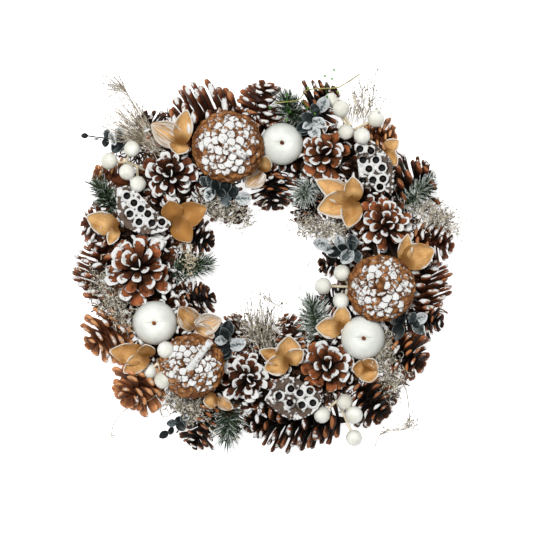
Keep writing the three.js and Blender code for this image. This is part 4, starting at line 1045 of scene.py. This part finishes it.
def makeSprig(name, sprig, draw):
    root, tip = at(*sprig["root"], sprig["rootZ"]), at(*sprig["tip"], sprig["tipZ"])
    up = (tip - root).normalized()
    side = up.cross(upward).normalized()
    fore = side.cross(up)
    parts = [tubes("twig", [[root - up * 4 * mm, root.lerp(tip, 0.5), tip]], [[1.6 * mm, 1.3 * mm, 0.9 * mm]], 6)]
    fromUp, less, uneven = needleShape["splay"]
    for i in range(needleShape["count"]):
        t = (i + 0.5) / needleShape["count"]
        angle = i * goldenAngle + swing(draw, 0.3)
        splay = radians(fromUp - less * t ** 2 + swing(draw, uneven))
        out = side * cos(angle) + fore * sin(angle)
        along = (up * cos(splay) + out * sin(splay) + upward * needleShape["lift"]).normalized()
        start = root.lerp(tip, 0.14 + 0.82 * t)
        length = sprig["needle"] * mm * draw.uniform(0.8, 1.12)
        end = start + along * length
        passes = ("outer_cones", "inner_cones") if t > 0.3 else ()
        if end.z < 0.5 * mm or blocked(start, end, (needleShape["shortened"], 1), name, passes):
            length *= needleShape["shortened"]
            if insideOther(start + along * length, name, passes):
                continue
        size = (length, needleShape["radius"] * mm, needleShape["radius"] * mm)
        shade = draw.uniform(-0.2, 1.0) + sprig["frost"]
        parts.append(copyOf(needleMaster, frameAlong(start, along, up, size), shade))
    dressed(parts, name + "_needles", "pineNeedle", "pine_green", name)


makeAll("pine sprigs", makeSprig, pineSprigs, 130)


# Eucalyptus: a stem through (pixel x, pixel y, z), and leaves (along it, bearing, length, rise).
eucalyptus = table("stem leaves", {
    "eucalyptus_1": ([(205, 184, 20), (212, 188, 44), (236, 199, 50)],
        [(0.5, 100, 14, 8), (0.5, 250, 13, 6), (0.75, 75, 13, 8), (0.75, 290, 13, 4), (0.98, 10, 14, 4)]),
    "eucalyptus_2": ([(304, 131, 14), (309, 126, 48), (320, 112, 56)],
        [(0.5, 200, 12, 8), (0.5, 320, 14, 4), (0.75, 180, 12, 6), (0.75, 340, 12, 5), (0.98, 70, 14, 6)]),
    "eucalyptus_3": ([(164, 170, 14), (137, 146, 24), (116, 140, 40), (88, 136, 44)],
        [(0.6, 250, 13, 5), (0.6, 110, 12, 7), (0.8, 80, 8, 4), (0.8, 265, 8, 3), (0.98, 185, 6, 2)]),
    "eucalyptus_4": ([(362, 250, 20), (352, 250, 42), (328, 246, 48)],
        [(0.5, 245, 15, 7), (0.5, 95, 14, 8), (0.75, 220, 13, 4), (0.75, 120, 12, 6), (0.98, 170, 14, 4)]),
    "eucalyptus_5": ([(388, 322, 14), (400, 324, 38), (414, 322, 46)],
        [(0.5, 100, 13, 8), (0.5, 260, 14, 6), (0.98, 40, 13, 6), (0.98, 310, 13, 3)]),
    "eucalyptus_6": ([(228, 356, 20), (230, 347, 46), (226, 337, 52)],
        [(0.5, 20, 15, 5), (0.5, 200, 14, 5), (0.98, 80, 15, 8), (0.98, 150, 14, 6)]),
    "eucalyptus_7": ([(208, 388, 12), (186, 412, 30), (168, 432, 38)],
        [(0.5, 130, 11, 5), (0.5, 280, 12, 5), (0.75, 190, 9, 4), (0.75, 330, 10, 4), (0.98, 215, 9, 3)]),
})
# Leaves stand in pairs: the second is a little nearer the root and smaller. (size, rise, turn) of each.
leafPair = [(1.05, 0, -8), (0.8, 3, 35)]
leafShape = {"width": 0.8, "divisions": (7, 6), "wash": 0.55, "tones": (0.0, 0.2, 0.5, 0.85), "step": 0.1}


def leafWidth(s):
    return max(0.05, sin(pi * min(1, 0.04 + 0.93 * s) ** 0.9)) ** 0.7


def makeSpray(name, spray, draw):
    line = curved([at(*p) for p in spray["stem"]], 8)
    parts = [tubes("leafStem", [line], [[(1.1 - 0.5 * i / len(line)) * mm for i in range(len(line))]], 6)]
    for along, turn, length, rise in spray["leaves"]:
        for side, (share, lift, aside) in enumerate(leafPair):
            size = length * share
            start = line[min(len(line) - 1, round((along - leafShape["step"] * side) * (len(line) - 1)))]
            blade = makeBlade("leaf", size, size * leafShape["width"], rise + lift, draw.uniform(-0.4, 1.0),
                              leafWidth, leafShape["divisions"], swing(draw, 0.4), leafShape["wash"])
            blade.data.transform(frameAlong(start, bearing(turn + aside + swing(draw, 8)), upward))
            parts.append(marked(blade, shade=draw.choice(leafShape["tones"])))
    dressed(parts, name + "_leaves", "eucalyptusLeaf", "eucalyptus_grey", name)


makeAll("eucalyptus", makeSpray, eucalyptus, 150)


# The base: vines wound round a core.
def ringPoint(turn, reach, z):
    return Vector((ringMiddle.x + reach * cos(turn), ringMiddle.y + reach * sin(turn), z))


def makeVineRing():
    draw = random.Random(7)
    paths, radii = [], []
    lift, vine, points = ringTop / 2, vineRing["vine"], vineRing["points"]
    for k in range(vineRing["vines"]):
        phase, wave = k / vineRing["vines"] * 2 * pi, draw.uniform(0, 6)
        thick = vine * draw.uniform(0.75, 1.0)
        path = []
        for i in range(points):
            turn = i / points * 2 * pi
            section = phase + vineRing["twist"] * turn + 0.12 * sin(5 * turn + wave)
            reach = vineRing["radius"] + vineRing["halfWidth"] * cos(section)
            path.append(ringPoint(turn, reach * mm, (lift + (lift - vine) * sin(section)) * mm))
        paths.append(path)
        radii.append([thick * mm * (1 + 0.1 * sin(i * 0.9 + wave)) for i in range(points)])
    vines = marked(tubes("vines", paths, radii, 6, cyclic=True), shade=0.5)
    core = added("ringCore", bpy.ops.mesh.primitive_torus_add, major_segments=72, minor_segments=14,
                 major_radius=vineRing["radius"] * mm, minor_radius=vineRing["core"] * mm,
                 location=(ringMiddle.x, ringMiddle.y, lift * mm))
    whole = smoothShaded(joined([vines, marked(core, shade=0.1)], "vines"))
    dressed([whole], "base_ring_vines", "vineBark", "vine", "base_ring")
    print("vine ring ready")


makeVineRing()

# Loose cone scales on the ring, and dark strands between the trimmings: painted shade in the gaps there.
loose = {"scales": 1500, "length": (11, 21), "width": 9.5, "thickness": 2.8, "around": (5, 175), "ringHalf": (23, 15),
         "stand": 0.75, "jitter": 0.45, "passes": ("outer", "inner")}
shadeFill = {"strands": 2400, "length": 16, "curl": 0.35, "near": 13, "around": (80, 176), "z": (3, 30)}


def makeLooseScales():
    draw = random.Random(31)
    parts = []
    acrossHalf, upHalf = loose["ringHalf"]
    for _ in range(loose["scales"]):
        turn, section = draw.uniform(0, 2 * pi), radians(draw.uniform(*loose["around"]))
        radial = Vector((cos(turn), sin(turn), 0))
        normal = radial * cos(section) + upward * sin(section)
        reach = vineRing["radius"] + acrossHalf * cos(section)
        root = Vector((ringMiddle.x, ringMiddle.y, 0)) + radial * reach * mm
        root.z = (ringTop / 2 + upHalf * sin(section)) * mm
        along = (normal * loose["stand"] + wander(draw, loose["jitter"])).normalized()
        length = draw.uniform(*loose["length"]) * mm
        end = root + along * length
        if end.z < 0.5 * mm or blocked(root, end, (0.5, 0.75, 1), "base_ring", loose["passes"]):
            continue
        size = (length, loose["width"] * draw.uniform(0.7, 1.1) * mm, loose["thickness"] * 0.5 * mm)
        placing = frameAlong(root, along, normal, size)
        parts.append(copyOf(scaleMasters["frontScale"], placing, draw.uniform(-0.5, 0.4)))
    dressed(parts, "loose_scales", "coneDark", "cone_brown")


# A place counts as between the trimmings when it is outside all of them and near two at least.
def betweenTrimmings(point):
    near = shadeFill["near"] * mm
    count = 0
    for _, low, high, tree in obstacles:
        if outsideBox(point, low, high, near):
            continue
        spot, normal, _, distance = tree.find_nearest(point)
        if (point - spot).dot(normal) < 0:
            return False
        count += distance < near
    return count > 1


# A line of points that starts along an aim and wanders, and stays above the table.
def strand(draw, start, aim, length, rise, curl, points=9):
    path = [start]
    heading = aim.copy()
    for _ in range(points - 1):
        heading += wander(draw, curl)
        heading.z += rise * 0.25
        heading.normalize()
        path.append(path[-1] + heading * (length / (points - 1)))
        path[-1].z = max(path[-1].z, 0.8 * mm)
    return path


# Dark strands that fill the gaps between the trimmings, where there is only shade: painted shade.
def makeShadeFiller():
    draw = random.Random(37)
    paths, radii = [], []
    while len(paths) < shadeFill["strands"]:
        turn, reach = draw.uniform(0, 2 * pi), draw.uniform(*shadeFill["around"]) * mm
        start = ringPoint(turn, reach, draw.uniform(*shadeFill["z"]) * mm)
        if not betweenTrimmings(start):
            continue
        aim = Vector([draw.gauss(0, 1), draw.gauss(0, 1), draw.gauss(0, 0.5)]).normalized()
        length = shadeFill["length"] * mm * draw.uniform(0.5, 1.1)
        path = strand(draw, start - aim * length / 2, aim, length, 0, shadeFill["curl"], 7)
        if betweenTrimmings(path[0]) and betweenTrimmings(path[-1]):
            paths.append(path)
            radii.append(draw.uniform(0.4, 0.8) * mm)
    piece = marked(tubes("shade_filler", paths, radii), shade=lambda co: 0.5 + 0.5 * turbulence(co * 300))
    dressed([piece], "shade_filler", "shadeFiller", "vine")


# Dried moss and straw: strands that start between two pixels, spread out and wander, with crumbs along them.
mossPatches = table("start end spread z strands length aim fan rise curl look crumbs", {
    "moss_straw_top_left": ((160, 152), (150, 140), 5, 40, 110, 54, 142, 30, 0.1, 0.1, "strawStem", 1),
    "moss_curl_inner_left": ((206, 204), (244, 216), 11, 38, 210, 15, 0, 180, 0.3, 0.9, "greyMoss"),
    "moss_curl_left": ((98, 272), (126, 326), 11, 42, 300, 15, 200, 180, 0.25, 0.8, "greyMoss"),
    "moss_curl_lower_left": ((166, 398), (206, 416), 10, 38, 260, 15, 240, 180, 0.25, 0.8, "greyMoss"),
    "moss_stems_bottom": ((252, 344), (272, 346), 8, 36, 110, 46, 92, 36, 0.28, 0.2, "greyMoss"),
    "moss_curl_inner_right": ((300, 222), (342, 234), 9, 36, 220, 16, 200, 180, 0.2, 0.7, "greyMoss"),
    "moss_tuft_right": ((416, 207), (446, 224), 10, 36, 200, 19, 10, 90, 0.3, 0.6, "greyMoss"),
    "moss_trail_lower_right": ((382, 338), (392, 388), 9, 44, 320, 16, 270, 150, 0.15, 0.7, "greyMoss"),
    "moss_tuft_top_right": ((352, 118), (372, 116), 7, 40, 34, 40, 88, 30, 0.3, 0.25, "greyMoss", 9),
    "moss_bits_left": ((186, 226), (190, 272), 5, 50, 60, 11, 270, 180, 0.3, 0.9, "creamStem"),
})
mossShape = {"crumbs": 4, "crumbLength": (0.7, 1.7), "crumbRadius": (0.3, 0.55), "radius": (0.22, 0.4), "zSpread": 8}


def makeMoss(name, moss, draw):
    paths, radii = [], []
    for _ in range(moss["strands"]):
        share = draw.random()
        px, py = (a + (b - a) * share + draw.gauss(0, moss["spread"] * 0.6)
                  for a, b in zip(moss["start"], moss["end"]))
        start = at(px, py, moss["z"] + swing(draw, mossShape["zSpread"]))
        aim = bearing(moss["aim"] + swing(draw, moss["fan"]), 90 - draw.uniform(0, 60) * moss["rise"])
        length = moss["length"] * mm * draw.uniform(0.55, 1.1)
        path = strand(draw, start, aim, length, moss["rise"], moss["curl"] * 0.7)
        thick = draw.uniform(*mossShape["radius"]) * mm
        paths.append(path)
        radii.append([thick * (1 - 0.5 * i / len(path)) for i in range(len(path))])
    for path in paths[:]:
        for _ in range(moss.get("crumbs", mossShape["crumbs"])):
            start = draw.choice(path[2:])
            aim = wander(draw, 1).normalized() * draw.uniform(*mossShape["crumbLength"]) * mm
            paths.append([start, start + aim])
            radii.append(draw.uniform(*mossShape["crumbRadius"]) * mm)
    piece = marked(tubes(name, paths, radii), mask=0.55, shade=lambda co: 0.5 + 0.8 * turbulence(co * 500))
    dressed([piece], name, moss["look"], "vine")


makeLooseScales()
makeShadeFiller()
makeAll("moss", makeMoss, mossPatches, 200)

# Loose twigs and tendrils through (pixel x, pixel y, z). Some carry seeds: (pixel x, pixel y, spread, count).
tendrils = table("look radius line seeds", {
    "tendril_top_left": ("strawStem", 0.28, [(157, 112, 40), (155, 90, 48), (153, 62, 50)]),
    "seed_stem_top_left": ("strawStem", 0.4, [(150, 128, 42), (138, 112, 46), (124, 88, 48)], [(112, 84, 14, 60)]),
    "green_twig_top": ("greenTwig", 0.55, [(275, 103, 62), (298, 100, 66), (308, 90, 64), (335, 88, 62),
        (343, 85, 60), (360, 74, 54)]),
    "tendril_top_right": ("strawStem", 0.16, [(345, 84, 44), (360, 77, 46), (370, 78, 46), (374, 90, 44),
        (372, 98, 42)]),
    "tendril_lower_right": ("strawStem", 0.4, [(398, 378, 46), (406, 390, 44), (409, 410, 40), (409, 426, 38),
        (400, 430, 36), (386, 431, 34), (378, 438, 32), (375, 447, 30)],
        [(411, 421, 8, 30), (386, 433, 5, 12)]),
    "tendril_lower_left": ("strawStem", 0.34, [(162, 388, 62), (150, 400, 50), (130, 407, 46), (119, 416, 44),
        (113, 426, 40), (111, 438, 38)], [(111, 436, 4, 8)]),
    "twig_bottom_left": ("creamStem", 0.5, [(196, 414, 46), (208, 428, 48), (224, 437, 46), (240, 438, 44)]),
    "tendril_hole_right": ("strawStem", 0.3, [(314, 258, 40), (305, 270, 42), (300, 285, 40), (299, 298, 36)]),
    "tendril_hole_loop": ("strawStem", 0.16, [(318, 240, 40), (305, 240, 42), (300, 250, 42), (302, 262, 40),
        (310, 266, 38), (318, 262, 36)]),
    "tendril_hole_bottom": ("strawStem", 0.22, [(258, 340, 46), (262, 318, 52), (268, 300, 54), (278, 306, 52),
        (288, 296, 50)], [(266, 294, 7, 16), (281, 305, 6, 14)]),
})
seedShape = {"radius": 0.7, "stalk": 0.13, "zSpread": 5, "sag": 1.5}
greenBuds = {
    "places": [(325, 76), (334, 70), (332, 79), (338, 92), (308, 88), (287, 95), (287, 101), (270, 108), (290, 112),
               (287, 120), (307, 108), (315, 114), (327, 97)],
    "z": 64, "radius": 1.3, "stalk": 0.15, "zSpread": 4, "sag": 1,
}


def makeBud(shape):
    return added("bud", bpy.ops.mesh.primitive_ico_sphere_add, subdivisions=1, radius=shape["radius"] * mm)


# A thin stalk from the nearest of some points to a bud.
def stalkTo(spot, points, shape):
    near = min(points, key=lambda point: (point - spot).length)
    return [near, near.lerp(spot, 0.5) + upward * (shape["sag"] * mm), spot]


def makeTendril(name, tendril, draw):
    line = curved([at(*p) for p in tendril["line"]])
    paths, radii = [line], [tendril["radius"] * mm]
    bud, parts = makeBud(seedShape), []
    for px, py, spread, count in tendril.get("seeds", ()):
        for _ in range(count):
            spot = at(px + draw.gauss(0, spread * 0.5), py + draw.gauss(0, spread * 0.5), tendril["line"][-1][2])
            spot.z += swing(draw, seedShape["zSpread"]) * mm
            parts.append(copyOf(bud, Matrix.Translation(spot), draw.uniform(0, 1)))
            paths.append(stalkTo(spot, draw.sample(line[len(line) // 2:], 4), seedShape))
            radii.append(seedShape["stalk"] * mm)
    removed(bud)
    dressed([marked(tubes(name, paths, radii), mask=0.4, shade=0.4), *parts], name, tendril["look"], "vine")


def makeGreenBuds():
    draw = random.Random(5)
    bud, parts, paths = makeBud(greenBuds), [], []
    twig = curved([at(*p) for p in tendrils["green_twig_top"]["line"]])
    for px, py in greenBuds["places"]:
        spot = at(px, py, greenBuds["z"] + swing(draw, greenBuds["zSpread"]))
        parts.append(copyOf(bud, Matrix.Translation(spot), draw.uniform(0, 1)))
        paths.append(stalkTo(spot, twig, greenBuds))
    removed(bud)
    stems = tubes("budStems", paths, [greenBuds["stalk"] * mm] * len(paths))
    dressed([stems, *parts], "green_buds", "greenBud", "pine_green")


makeAll("tendrils", makeTendril, tendrils, 240)
makeGreenBuds()
for master in (*scaleMasters.values(), diamondMaster, needleMaster):
    removed(master)

# Floor, lights and camera. Lights are (name, place in metres, size, power).
studio = {"floorSize": 6.0, "floorDark": (0.9, 0.9, 0.9), "floorLight": (0.95, 0.95, 0.95), "floorGlow": 0.75,
          "world": 0.12,
          "lights": [("keyLight", (-0.34, 0.45, 2.35), 0.45, 54), ("fillLight", (0.15, -0.15, 2.5), 0.7, 11)]}


def makeStudio():
    floor = added("floor", bpy.ops.mesh.primitive_plane_add, size=studio["floorSize"], location=(0, 0, -0.2 * mm))
    materials["floorPaper"], tree, shader = newMaterial("floorPaper", 0.9, 0.1)
    paper = grouped(tree, toneGroup, {"Vector": objectPlace(tree), "Dark": studio["floorDark"],
                                      "Light": studio["floorLight"], "Patches": 3.0, "Grain": 900.0})
    fill(tree, shader, {"Base Color": paper["Color"], "Emission Color": (1, 1, 1),
                        "Emission Strength": studio["floorGlow"]})
    painted(floor, "floorPaper")
    world = bpy.data.worlds.new("studioWorld")
    world.use_nodes = True
    fill(world.node_tree, world.node_tree.nodes["Background"], {"Color": (1, 1, 1), "Strength": studio["world"]})
    bpy.context.scene.world = world
    for name, place, size, power in studio["lights"]:
        light = bpy.data.lights.new(name, "AREA")
        light.size = size
        light.energy = power
        lamp = bpy.data.objects.new(name, light)
        lamp.location = place
        lamp.rotation_euler = (-Vector(place)).to_track_quat("-Z", "Y").to_euler()
        bpy.context.collection.objects.link(lamp)
    camera = bpy.data.objects.new("camera", bpy.data.cameras.new("camera"))
    middle = at(view["imagePixels"] / 2, view["imagePixels"] / 2, 0)
    camera.location = (middle.x, middle.y, view["height"])
    camera.data.sensor_width = view["sensor"]
    camera.data.lens = view["sensor"] * view["height"] / (view["imagePixels"] * view["mmPerPixel"] * mm)
    camera.data.clip_end = 20
    bpy.context.collection.objects.link(camera)
    bpy.context.scene.camera = camera
    bpy.context.scene.view_settings.view_transform = "Standard"
    print("studio ready")


makeStudio()
